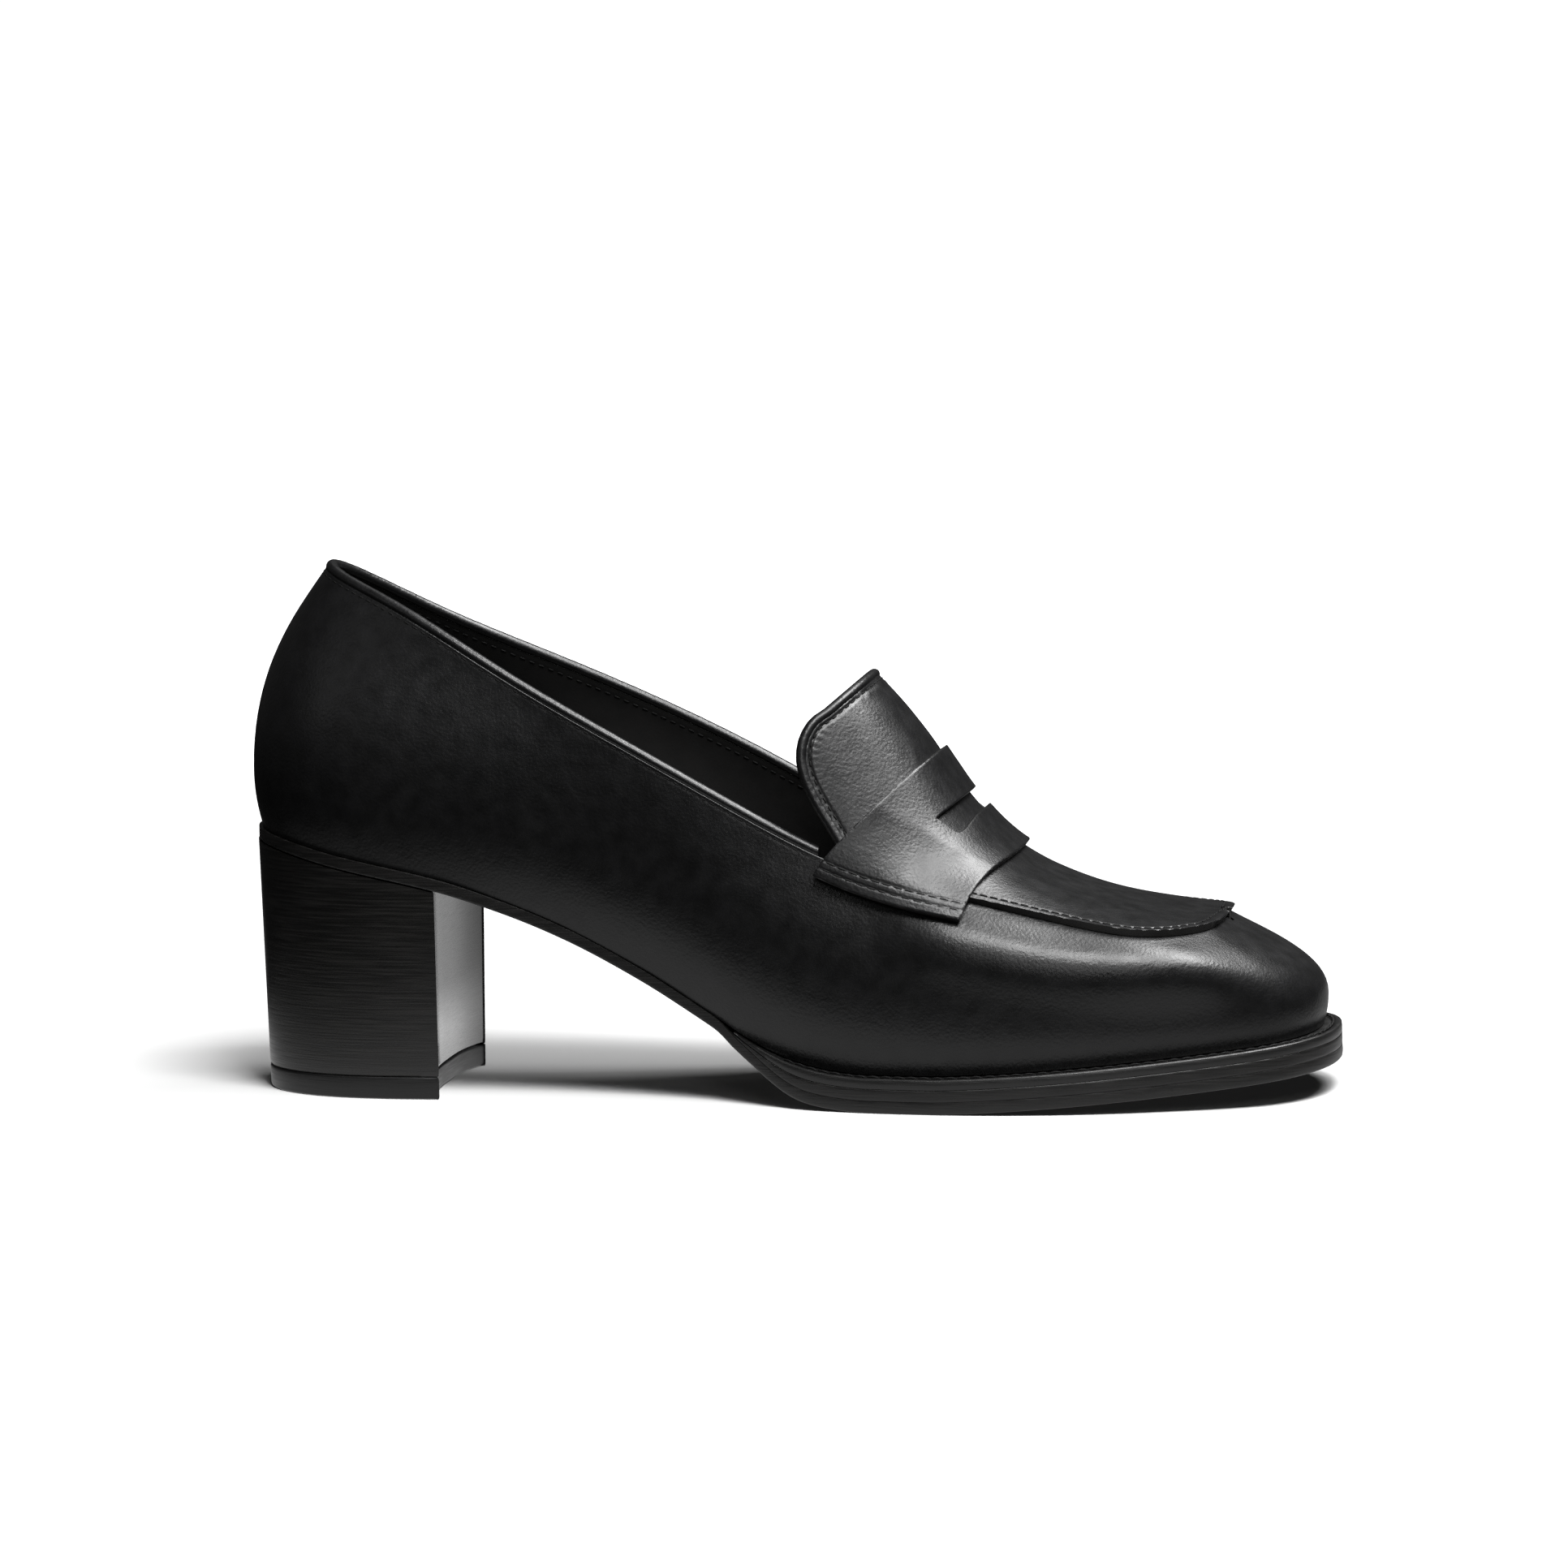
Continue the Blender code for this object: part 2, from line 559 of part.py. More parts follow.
def apron_lines():
    """x and across of the lines over the apron and tongue, a row each, from the tongue's top forward."""
    free_x, free_z = tongue_edge(TONGUE_LINES)
    start = t_at(np.array(TONGUE_ROOT * LAST_LENGTH))
    seam_t = start + (0.975 - start) * np.sin(np.linspace(0, 1, APRON_LINES)[1:] * math.pi / 2)
    seam_x = LOOPS(seam_t)[:, TOP_X]
    lateral = np.append(across_at_height(free_x, free_z)[:-1], np.full(APRON_LINES, -1.0))
    medial = np.append(across_at_height(free_x, free_z, medial=True)[:-1], np.full(APRON_LINES, 1.0))
    edge = np.append(free_x, seam_x)
    top, tip = TONGUE_TOP * LAST_LENGTH, LOOPS(1.0)[TOP_X]
    ridge = np.maximum(top + (tip - top) * np.linspace(0, 1, len(edge) + 1)[:-1], edge)
    half = np.linspace(0, 1, ACROSS // 2 + 1)
    x = edge[:, None] + (ridge - edge)[:, None] * half * (2 - half)
    left, right = lateral[:, None] * (1 - half), medial[:, None] * (1 - half)
    return np.hstack([x, x[:, -2::-1]]), np.hstack([left, right[:, -2::-1]])


def add_apron():
    """The apron and the tongue behind it, one piece of leather over the upper."""
    x, across = apron_lines()
    return shell("apron_tongue", lifted(x, across, COVER_GAP),
                 lifted(x, across, COVER_GAP + APRON_THICKNESS), CALF)


def tongue_binding_line(clearance):
    """The line of the tongue's bound edge, from the lateral strap over the top to the medial one."""
    rim_x, rim_across = (np.concatenate([grid[::-1, 0], grid[0, 1:-1], grid[:, -1]])
                         for grid in apron_lines())
    rim = lifted(rim_x, rim_across, COVER_GAP + APRON_THICKNESS / 2)
    away = np.cross(over_normal(rim_x, rim_across, 1.0), np.gradient(rim, axis=0))
    away /= np.linalg.norm(away, axis=1, keepdims=True)
    line = rim + away * (GAP + TONGUE_BINDING_DIAMETER / 2)
    return line[strap_clearance(line) > clearance]


def strap_clearance(points):
    """How far points lie behind the strap's rear edge in the side view."""
    (low_x, low_z), (high_x, high_z) = STRAP_REAR
    low = np.array([low_x * LAST_LENGTH, low_z * BACK_HEIGHT + FOREPART])
    high = np.array([high_x * LAST_LENGTH, high_z * BACK_HEIGHT + FOREPART])
    along = (high - low) / np.linalg.norm(high - low)
    offset = points[:, [0, 2]] - low
    return -(offset[:, 0] * along[1] - offset[:, 1] * along[0])


def strap_edge_x(line, across):
    """x of a strap's edge, drawn in the side view, where each across line of the surface meets it."""
    share, rise = rows_of(line)
    drawn_x = share * LAST_LENGTH
    drawn_z = FOREPART + rise * BACK_HEIGHT
    x = np.full(across.shape, drawn_x.mean())
    for _ in range(40):
        z = over_point(x, across)[..., 2]
        x = (x + np.interp(z, drawn_z, drawn_x)) / 2
    return x


def add_strap():
    """The saddle strap over apron and upper, with its slot across the instep."""
    end = (STRAP_END_REAR + STRAP_END_FRONT) / 2
    lines = np.append(STRAP_LINES, end)
    lines = np.concatenate([-lines[:0:-1], lines])
    out, slot_rear, slot_front = rows_of(SLOT)
    slot_rear = np.interp(np.abs(lines), out, slot_rear)
    slot_front = np.interp(np.abs(lines), out, slot_front)
    steps = np.linspace(0, 1, STRAP_ALONG + 1)[:, None]
    share = np.vstack([steps * slot_rear, slot_front + steps * (1 - slot_front)])
    across = np.tile(lines, (len(share), 1))
    for side, sign in ((0, -1), (-1, 1)):
        across[:, side] = sign * (STRAP_END_REAR + (STRAP_END_FRONT - STRAP_END_REAR) * share[:, side])
    rear, front = strap_edge_x(STRAP_REAR, across), strap_edge_x(STRAP_FRONT, across)
    x = rear + (front - rear) * share
    raised = 1 - smooth_step(np.abs(across), *STRAP_RAISED)
    height = COVER_GAP + (COVER_GAP + APRON_THICKNESS) * raised
    closed = np.minimum(np.abs(lines[:-1]), np.abs(lines[1:])) > SLOT_END - 0.01
    return shell("saddle_strap", lifted(x, across, height, STRAP_END_FRONT),
                 lifted(x, across, height + STRAP_THICKNESS, STRAP_END_FRONT), CALF,
                 skip=lambda i, j: i == STRAP_ALONG and not closed[j])


def add_collar_binding():
    """The rolled binding that stands on the collar's rim."""
    end = t_at(np.array(BINDING_END * LAST_LENGTH))
    t = np.mod(np.linspace(-end, end, 49), 2)
    rim, below = wall_point(t, 1.0), wall_point(t, 0.94)
    up = rim - below
    up /= np.linalg.norm(up, axis=1, keepdims=True)
    out = np.column_stack([outward(t, TOP_X), np.zeros(len(t))])
    line = rim - out * UPPER_WALL / 2 + up * (GAP + BINDING_DIAMETER / 2)
    return tube("collar_binding", line, BINDING_DIAMETER, CALF)


def heel_outline(base):
    """The heel's plan: round the back from one breast corner to the other, then the hollow breast."""
    end = t_at(np.array(HEEL_LENGTH), FOOT_X)
    t = np.mod(np.linspace(-end, end, 33), 2)
    side = loop_xy(t, np.full(len(t), SEAT_EDGE))
    side[[0, -1], 0] = HEEL_LENGTH
    if base:
        width = HEEL_BASE_WIDTH / np.ptp(side[:, 1])
        length = 1 - HEEL_BACK_RAKE / HEEL_LENGTH
        side = np.column_stack([HEEL_LENGTH + (side[:, 0] - HEEL_LENGTH) * length, side[:, 1] * width])
    s = np.linspace(1, -1, 15)[1:-1]
    breast = HEEL_LENGTH - BREAST_HOLLOW * (1 - np.abs(s) ** 3)
    return np.vstack([side, np.column_stack([breast, s * side[-1, 1]])])


def column_solid(name, levels, finish):
    """A solid between closed outlines, each with its heights, from the lowest up."""
    bm = bmesh.new()
    rings = [[bm.verts.new(point) for point in level] for level in levels]
    for low, high in zip(rings, rings[1:]):
        for k in range(len(low)):
            n = (k + 1) % len(low)
            bm.faces.new((low[k], low[n], high[n], high[k]))
    bm.faces.new(rings[0][::-1])
    bm.faces.new(rings[-1])
    return add_object(name, mesh_from(bm, name), finish)


def add_heel():
    """The stacked heel block and the lift under it."""
    top, base = heel_outline(False), heel_outline(True)
    seat = feather_z(top[:, 0]) - 2 * GAP - OUTSOLE_THICKNESS
    height = seat.mean()
    levels = []
    for z in (0.0, LIFT_THICKNESS, LIFT_THICKNESS + GAP, None):
        if z is None:
            levels.append(np.column_stack([top, seat]))
        else:
            plan = base + (top - base) * z / height
            levels.append(np.column_stack([plan, np.full(len(plan), z)]))
    column_solid("heel_lift", levels[:2], TOP_PIECE)
    column_solid("heel_block", levels[2:], STACK)


def centre_on_floor(origin):
    """Moves the shoe so that the middle of its box's underside is at the origin."""
    bpy.context.view_layer.update()
    graph = bpy.context.evaluated_depsgraph_get()
    low, high = np.full(3, np.inf), np.full(3, -np.inf)
    for piece in origin.children:
        mesh = piece.evaluated_get(graph).to_mesh()
        points = np.array([vert.co for vert in mesh.vertices])
        low, high = np.minimum(low, points.min(0)), np.maximum(high, points.max(0))
    origin.location = (-(low[0] + high[0]) / 2, -(low[1] + high[1]) / 2, -low[2])


def main():
    for old in list(bpy.data.objects):
        bpy.data.objects.remove(old)
    origin = bpy.data.objects.new("shoe_origin", None)
    bpy.context.scene.collection.objects.link(origin)

    side, _ = column_params()
    outsole_top = layer_z(WELT_THICKNESS + MIDSOLE_THICKNESS, 2)
    plate("outsole", side, sole_edge, outsole_top,
          lambda x: outsole_top(x) - OUTSOLE_THICKNESS, INKED_EDGE)
    wedge_side = side[wedge(LOOPS(side)[:, FOOT_X]) > 1.6 * WEDGE_LEAST]
    plate("midsole", wedge_side, sole_edge, layer_z(WELT_THICKNESS, 1),
          layer_z(WELT_THICKNESS + MIDSOLE_THICKNESS, 1), INKED_EDGE)
    add_welt(wedge_side)
    add_heel()
    inset = UPPER_WALL + INSOLE_CLEARANCE
    plate("insole", side, lambda t: np.full(len(t), -inset),
          lambda x: insole_low_z(x) + INSOLE_THICKNESS, insole_low_z, SOCK)
    add_upper()
    add_apron()
    add_strap()
    add_collar_binding()
    tube("tongue_binding", tongue_binding_line(GAP + TONGUE_BINDING_DIAMETER / 2),
         TONGUE_BINDING_DIAMETER, CALF)
    centre_on_floor(origin)


main()
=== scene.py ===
"""Loafer pump: the look of one right shoe, standing empty on a white studio floor.

Units are metres. The surfaces follow the same loops and sections as the CAD part, whose frame is the
last's, with its origin moved to the middle of the part's underside. Edges, seams and stitches are
geometry. Grain, streaks and gloss come from node materials on object coordinates.
"""

import math

import bpy
import numpy as np
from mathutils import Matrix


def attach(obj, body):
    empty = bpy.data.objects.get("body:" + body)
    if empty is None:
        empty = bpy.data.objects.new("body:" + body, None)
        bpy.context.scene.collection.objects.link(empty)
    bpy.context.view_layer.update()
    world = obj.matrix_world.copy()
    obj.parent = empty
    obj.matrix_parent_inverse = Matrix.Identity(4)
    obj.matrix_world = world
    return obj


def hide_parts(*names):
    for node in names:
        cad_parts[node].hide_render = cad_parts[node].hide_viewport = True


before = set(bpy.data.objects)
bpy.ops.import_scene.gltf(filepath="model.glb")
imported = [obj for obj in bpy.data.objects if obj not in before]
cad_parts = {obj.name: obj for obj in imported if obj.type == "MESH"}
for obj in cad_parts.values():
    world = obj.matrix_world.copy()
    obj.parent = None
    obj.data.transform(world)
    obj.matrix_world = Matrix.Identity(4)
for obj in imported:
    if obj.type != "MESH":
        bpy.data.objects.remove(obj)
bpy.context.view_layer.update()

# The middle of the CAD part's underside, in the last's own frame
ORIGIN = np.array([0.1221671, 0.002643, 0.0])

# Driving sizes of the last
LAST_LENGTH = 0.2400
BALL_WIDTH = 0.0755
SEAT_WIDTH = 0.0540
SEAT_RISE = 0.0513
TOE_SPRING = 0.0070
BACK_HEIGHT = 0.0603
CROWN = 0.0370

# Driving sizes of the pieces
UPPER_WALL = 0.0018
LASTING_MARGIN = 0.0070
APRON_THICKNESS = 0.0014
STRAP_THICKNESS = 0.0016
BINDING_DIAMETER = 0.0026
TONGUE_BINDING_DIAMETER = 0.0024
INSOLE_THICKNESS = 0.0022
OUTSOLE_THICKNESS = 0.0026
MIDSOLE_THICKNESS = 0.00225
WELT_THICKNESS = 0.00225
WELT_EDGE = 0.0040
WAIST_EDGE = 0.0004
SEAT_EDGE = 0.0009
HEEL_LENGTH = 0.0463
HEEL_BASE_WIDTH = 0.0510
HEEL_BACK_RAKE = 0.0015
BREAST_HOLLOW = 0.0032
LIFT_THICKNESS = 0.0050
GAP = 0.0003
COVER_GAP = 0.0004

# Sections of the last, from the heel's back to the toe's tip. Each row holds, as shares:
# x of LAST_LENGTH, y of half the local width (lateral, medial; the lateral side counts as negative),
# and heights of BACK_HEIGHT above the feather line. Bulge is the share of BALL_WIDTH by which the
# widest line stands outside the feather line. Lean is the top edge's angle from upright, in degrees.
SECTION_COLUMNS = (
    "foot_x", "foot_lat", "foot_med", "top_x", "top_lat", "top_med",
    "rise_lat", "rise_med", "bulge_lat", "bulge_med", "bulge_rise", "lean", "cap_lean",
)
SECTIONS = (
    (0.0100, 0.000, 0.000, 0.0730, 0.000, 0.000, 1.000, 1.000, 0.022, 0.022, 0.21, 36, 36),
    (0.0250, 0.500, 0.500, 0.0900, 0.315, 0.315, 0.985, 0.977, 0.025, 0.025, 0.22, 33, 33),
    (0.0710, 0.852, 0.845, 0.1330, 0.574, 0.593, 0.950, 0.909, 0.028, 0.029, 0.23, 26, 26),
    (0.1540, 1.000, 0.980, 0.1920, 0.796, 0.796, 0.886, 0.837, 0.028, 0.032, 0.26, 18, 18),
    (0.2750, 0.872, 0.776, 0.2830, 0.873, 0.873, 0.803, 0.806, 0.046, 0.060, 0.33, 10, 10),
    (0.3830, 0.768, 0.580, 0.3830, 0.862, 0.846, 0.786, 0.832, 0.060, 0.093, 0.37, 8, 8),
    (0.4790, 0.790, 0.652, 0.4790, 0.820, 0.797, 0.813, 0.879, 0.053, 0.085, 0.34, 9, 9),
    (0.5750, 0.876, 0.849, 0.5750, 0.776, 0.755, 0.745, 0.798, 0.036, 0.046, 0.26, 16, 18),
    (0.6790, 0.935, 1.060, 0.6790, 0.776, 0.820, 0.633, 0.650, 0.026, 0.022, 0.19, 38, 46),
    (0.7960, 0.880, 1.030, 0.7790, 0.740, 0.845, 0.512, 0.500, 0.024, 0.020, 0.16, 54, 70),
    (0.8960, 0.700, 0.930, 0.8540, 0.690, 0.800, 0.441, 0.435, 0.021, 0.021, 0.14, 62, 78),
    (0.9660, 0.460, 0.740, 0.8980, 0.437, 0.620, 0.4245, 0.420, 0.017, 0.017, 0.12, 61, 80),
    (0.9900, 0.210, 0.480, 0.9080, 0.270, 0.430, 0.428, 0.427, 0.014, 0.014, 0.11, 61, 80),
    (0.9980, -0.119, 0.119, 0.9110, -0.085, 0.085, 0.433, 0.433, 0.013, 0.013, 0.11, 61, 80),
)

# The bottom's profile: share of LAST_LENGTH, and share of SEAT_RISE above the forepart.
BOTTOM = (
    (-0.020, 1.010), (0.000, 1.000), (0.100, 0.905), (0.195, 0.809), (0.256, 0.712), (0.311, 0.603),
    (0.382, 0.427), (0.446, 0.244), (0.485, 0.130), (0.530, 0.044), (0.570, 0.009), (0.600, 0.000),
    (0.700, 0.000), (1.040, 0.000),
)
SPRING_START = 0.660
SPRING_END = 1.021
SPRING_POWER = 1.3
WEDGE_START = 0.452
WEDGE_END = 0.545
WEDGE_LEAST = 0.08

# The instep's ridge: share of LAST_LENGTH, share of CROWN above the top line, and y as a share of half
# the ball's width. The first rows are above the opening, where only the tongue reaches.
RIDGE = (
    (0.460, 1.320, 0.00), (0.500, 1.215, 0.00), (0.542, 1.135, 0.01), (0.583, 1.000, 0.03),
    (0.625, 0.768, 0.04), (0.667, 0.445, 0.05), (0.708, 0.225, 0.06), (0.742, 0.136, 0.07),
    (0.792, 0.092, 0.08), (0.854, 0.060, 0.085), (0.883, 0.032, 0.085), (0.911, 0.000, 0.085),
)

# Where the pieces of the top end, as shares of LAST_LENGTH
THROAT_SIDE = 0.578
THROAT_RIDGE = 0.662
BINDING_END = 0.549
TONGUE_TOP = 0.5845
TONGUE_ROOT = 0.598

# The tongue's free edge in the side view, as shares of LAST_LENGTH along x, and of CROWN above the
# top line at the tongue's root: the end of its straight top edge, its rounded corner, and its side.
TONGUE_EDGE = (
    (0.5565, 0.900), (0.5460, 0.850), (0.5395, 0.770), (0.5380, 0.670), (0.5420, 0.565),
    (0.5525, 0.425), (0.5675, 0.275), (0.5830, 0.120), (0.5980, 0.000),
)

# The strap's edges in the side view: x as a share of LAST_LENGTH and height as a share of BACK_HEIGHT.
# The rear edge is straight. The front edge bends forward as it climbs.
STRAP_REAR = ((0.5500, 0.745), (0.6415, 1.110))
STRAP_FRONT = ((0.6850, 0.575), (0.6930, 0.655), (0.7200, 0.735), (0.7290, 0.752))

# The strap's ends, past the apron's edge, which is at 1: lower at the front corner than at the rear one
STRAP_END_REAR = 1.12
STRAP_END_FRONT = 1.16

# The strap's slot: how far out it is, and where its rear and front edges lie between the strap's own.
SLOT = (
    (0.000, 0.352, 0.525), (0.135, 0.350, 0.512), (0.280, 0.350, 0.518), (0.400, 0.355, 0.540),
    (0.495, 0.360, 0.566), (0.540, 0.364, 0.570), (0.575, 0.370, 0.562), (0.583, 0.372, 0.545),
    (0.600, 0.380, 0.540), (1.200, 0.400, 0.540),
)


def rows_of(table):
    """A table's columns as arrays."""
    return np.array(table, float).T


def hermite(knots, values, slopes, x):
    """Cubic over rising knots, through values with these slopes."""
    i = np.clip(np.searchsorted(knots, x, side="right") - 1, 0, len(knots) - 2)
    step = knots[i + 1] - knots[i]
    s = (x - knots[i]) / step
    if values.ndim > 1:
        step, s = step[..., None], s[..., None]
    first = values[i] * (1 + 2 * s) * (1 - s) ** 2 + slopes[i] * step * s * (1 - s) ** 2
    return first + values[i + 1] * s * s * (3 - 2 * s) - slopes[i + 1] * step * s * s * (1 - s)


def monotone(knots, values, x):
    """Cubic through the knots that never overshoots, with straight ends."""
    step = np.diff(knots)
    slope = np.diff(values) / step
    tangent = np.zeros(len(knots))
    tangent[0], tangent[-1] = slope[0], slope[-1]
    same = slope[:-1] * slope[1:] > 0
    left = 2 * step[1:] + step[:-1]
    right = step[1:] + 2 * step[:-1]
    safe = np.where(same[:, None], np.stack([slope[:-1], slope[1:]], 1), 1.0)
    mean = (left + right) / (left / safe[:, 0] + right / safe[:, 1])
    tangent[1:-1] = np.where(same, mean, 0.0)
    return hermite(knots, values, tangent, np.clip(x, knots[0], knots[-1]))


class ClosedCurve:
    """A smooth closed cubic through rows of values, over a parameter that runs from 0 to 2."""

    def __init__(self, knots, values):
        self.knots = np.append(knots, 2.0)
        self.values = np.vstack([values, values[:1]])
        step = np.diff(self.knots)
        before = np.roll(step, 1)
        count = len(step)
        matrix = np.zeros((count, count))
        rows = np.arange(count)
        matrix[rows, rows] = 2 / before + 2 / step
        matrix[rows, (rows - 1) % count] += 1 / before
        matrix[rows, (rows + 1) % count] += 1 / step
        change = np.diff(self.values, axis=0)
        side = change / step[:, None] ** 2
        slopes = np.linalg.solve(matrix, 3 * (side + np.roll(side, 1, axis=0)))
        self.slopes = np.vstack([slopes, slopes[:1]])

    def __call__(self, t):
        return hermite(self.knots, self.values, self.slopes, np.mod(np.asarray(t, float), 2.0))


def smooth_step(x, start, end):
    s = np.clip((x - start) / (end - start), 0, 1)
    return s * s * (3 - 2 * s)


def wedge(x):
    """How much of the forepart's welt and midsole lies under the upper at x, from 0 to 1."""
    return smooth_step(x, WEDGE_START * LAST_LENGTH, WEDGE_END * LAST_LENGTH)


FOREPART = OUTSOLE_THICKNESS + MIDSOLE_THICKNESS + WELT_THICKNESS + 3 * GAP


def feather_z(x):
    """Height of the upper's underside above the floor."""
    share, rise = rows_of(BOTTOM)
    start, end = SPRING_START * LAST_LENGTH, SPRING_END * LAST_LENGTH
    spring = np.clip((x - start) / (end - start), 0, None) ** SPRING_POWER
    return FOREPART + SEAT_RISE * monotone(share, rise, x / LAST_LENGTH) + TOE_SPRING * spring


def half_width(x):
    """Half the width that the sections' y shares are shares of."""
    blend = np.clip((x / LAST_LENGTH - 0.2) / 0.4, 0, 1)
    return (SEAT_WIDTH + blend * (BALL_WIDTH - SEAT_WIDTH)) / 2


def section_loops():
    """Closed curve through the sections: foot x, y, then top x, y, z, bulge, its rise, and the leans."""
    table = dict(zip(SECTION_COLUMNS, rows_of(SECTIONS)))
    foot_x = table["foot_x"] * LAST_LENGTH
    top_x = table["top_x"] * LAST_LENGTH
    sides = []
    for sign, side in ((-1, "lat"), (1, "med")):
        foot_y = sign * table["foot_" + side] * half_width(foot_x)
        top_y = sign * table["top_" + side] * half_width(top_x)
        top_z = feather_z(top_x) + table["rise_" + side] * BACK_HEIGHT
        bulge = table["bulge_" + side] * BALL_WIDTH
        rise = table["bulge_rise"] * BACK_HEIGHT
        lean = np.radians(table["lean"])
        cap_lean = np.radians(table["cap_lean"])
        sides.append(np.stack([foot_x, foot_y, top_x, top_y, top_z, bulge, rise, lean, cap_lean], 1))
    lateral, medial = sides
    steps = [np.hypot(*np.diff(side[:, :2], axis=0).T) for side in sides]
    along = np.append(0, np.cumsum(sum(steps)))
    along /= along[-1]
    knots = np.concatenate([along, 2 - along[-2:0:-1]])
    return ClosedCurve(knots, np.vstack([lateral, medial[-2:0:-1]]))


LOOPS = section_loops()
FOOT_X, FOOT_Y, TOP_X, TOP_Y, TOP_Z, BULGE, BULGE_RISE, LEAN, CAP_LEAN = range(9)


def outward(t, x_column):
    """The horizontal unit normal of the foot loop or the top loop, pointing out of the shoe."""
    small = 1e-4
    along = LOOPS(t + small)[..., x_column:x_column + 2] - LOOPS(t - small)[..., x_column:x_column + 2]
    along /= np.linalg.norm(along, axis=-1, keepdims=True)
    return np.stack([-along[..., 1], along[..., 0]], -1) * -1


def bezier(a, b, c, d, s):
    s = s[..., None]
    return a * (1 - s) ** 3 + 3 * b * s * (1 - s) ** 2 + 3 * c * s * s * (1 - s) + d * s ** 3


def wall_point(t, v):
    """A point of the upper's outside between the feather line (v 0) and the top line (v 1)."""
    t, v = np.broadcast_arrays(np.asarray(t, float), np.asarray(v, float))
    row = LOOPS(t)
    out = outward(t, FOOT_X)
    foot_z = feather_z(row[..., FOOT_X])
    foot = np.concatenate([row[..., :2], foot_z[..., None]], -1)
    wide_xy = row[..., :2] + out * row[..., BULGE, None]
    wide = np.concatenate([wide_xy, (foot_z + row[..., BULGE_RISE])[..., None]], -1)
    top = row[..., TOP_X:TOP_Z + 1]
    lean = row[..., LEAN, None]
    top_out = outward(t, TOP_X)
    top_dir = np.concatenate([-top_out * np.sin(lean), np.cos(lean)], -1)
    up = np.array([0, 0, 1.0])
    low = row[..., BULGE_RISE, None]
    high = (top - wide)[..., 2:]
    reach = np.linalg.norm(top - wide, axis=-1, keepdims=True)
    foot_out = np.concatenate([out, np.zeros(out.shape[:-1] + (1,))], -1)
    start = foot + foot_out * row[..., BULGE, None] * 0.55 + up * low * 0.30
    low_part = bezier(foot, start, wide - up * low * 0.45, wide, np.clip(v / 0.25, 0, 1))
    upper_part = bezier(wide, wide + up * high * 0.45, top - top_dir * reach * 0.36, top,
                        np.clip((v - 0.25) / 0.75, 0, 1))
    return np.where(v[..., None] < 0.25, low_part, upper_part)


def ridge_point(x):
    share, crown, side = rows_of(RIDGE)
    lateral = LOOPS(t_at(x))[..., TOP_Z]
    medial = LOOPS(t_at(x, medial=True))[..., TOP_Z]
    z = (lateral + medial) / 2 + monotone(share, crown, x / LAST_LENGTH) * CROWN
    return np.stack([x, monotone(share, side, x / LAST_LENGTH) * BALL_WIDTH / 2, z], -1)


def over_point(x, across):
    """A point of the surface over the instep. Across runs from -1, the lateral top line, through 0,
    the ridge, to 1, the medial top line, and past those it runs down the wall."""
    x, across = np.broadcast_arrays(np.asarray(x, float), np.asarray(across, float))
    medial = across > 0
    t = np.where(medial, t_at(x, medial=True), t_at(x))
    row = LOOPS(t)
    top = row[..., TOP_X:TOP_Z + 1]
    ridge = ridge_point(x)
    inward = np.where(medial, -1.0, 1.0)[..., None]
    lean = row[..., CAP_LEAN, None]
    start_dir = np.concatenate([0 * lean, inward * np.sin(lean), np.cos(lean)], -1)
    end_dir = np.concatenate([0 * lean, inward, 0 * lean], -1)
    chord = np.linalg.norm(ridge - top, axis=-1, keepdims=True)
    rise = np.clip(1 - np.abs(across), 0, 1)
    cap = bezier(top, top + start_dir * chord * 0.34, ridge - end_dir * chord * 0.34, ridge, rise)
    wall = wall_point(t, np.clip(2 - np.abs(across), 0, 1))
    return np.where((np.abs(across) > 1)[..., None], wall, cap)


def across_at_height(x, z, medial=False):
    """The across value at which the section at x reaches height z above the top line."""
    low, high = np.full_like(x, 0.0), np.full_like(x, 1.0)
    sign = 1.0 if medial else -1.0
    for _ in range(30):
        middle = (low + high) / 2
        above = over_point(x, sign * middle)[..., 2] > z
        low = np.where(above, middle, low)
        high = np.where(above, high, middle)
    return sign * (low + high) / 2


def over_normal(x, across, edge):
    """Outward unit normal of the surface over the instep. Edge is the last across value of the piece
    that follows it, so that the crease at the apron's seam isn't averaged into the apron."""
    small, little = 2e-4, 0.01
    x = np.minimum(x, LOOPS(1.0)[TOP_X] - 4 * small)
    across = np.clip(across, little - edge, edge - little)
    along = over_point(x + small, across) - over_point(x - small, across)
    side = over_point(x, across + little) - over_point(x, across - little)
    normal = np.cross(along, side)
    return normal / np.linalg.norm(normal, axis=-1, keepdims=True)


def loop_xy(t, edge):
    """The foot loop's plan points, moved outward by the edge's width at each."""
    row = LOOPS(t)
    return row[..., :2] + outward(t, FOOT_X) * np.asarray(edge)[..., None]


def sole_edge(t):
    """How far the sole reaches outside the feather line."""
    x = LOOPS(t)[..., FOOT_X] / LAST_LENGTH
    seat = SEAT_EDGE + (WAIST_EDGE - SEAT_EDGE) * smooth_step(x, 0.18, 0.28)
    return seat + (WELT_EDGE - WAIST_EDGE) * smooth_step(x, 0.44, 0.56)


def layer_z(leather, gaps):
    """Height of a layer's face under the upper: below this much leather and this many gaps, both of
    which thin out to nothing behind the forepart."""
    def z_of(x):
        parted = np.clip(wedge(x) / WEDGE_LEAST, 0, 1)
        return feather_z(x) - GAP - wedge(x) * leather - parted * gaps * GAP
    return z_of


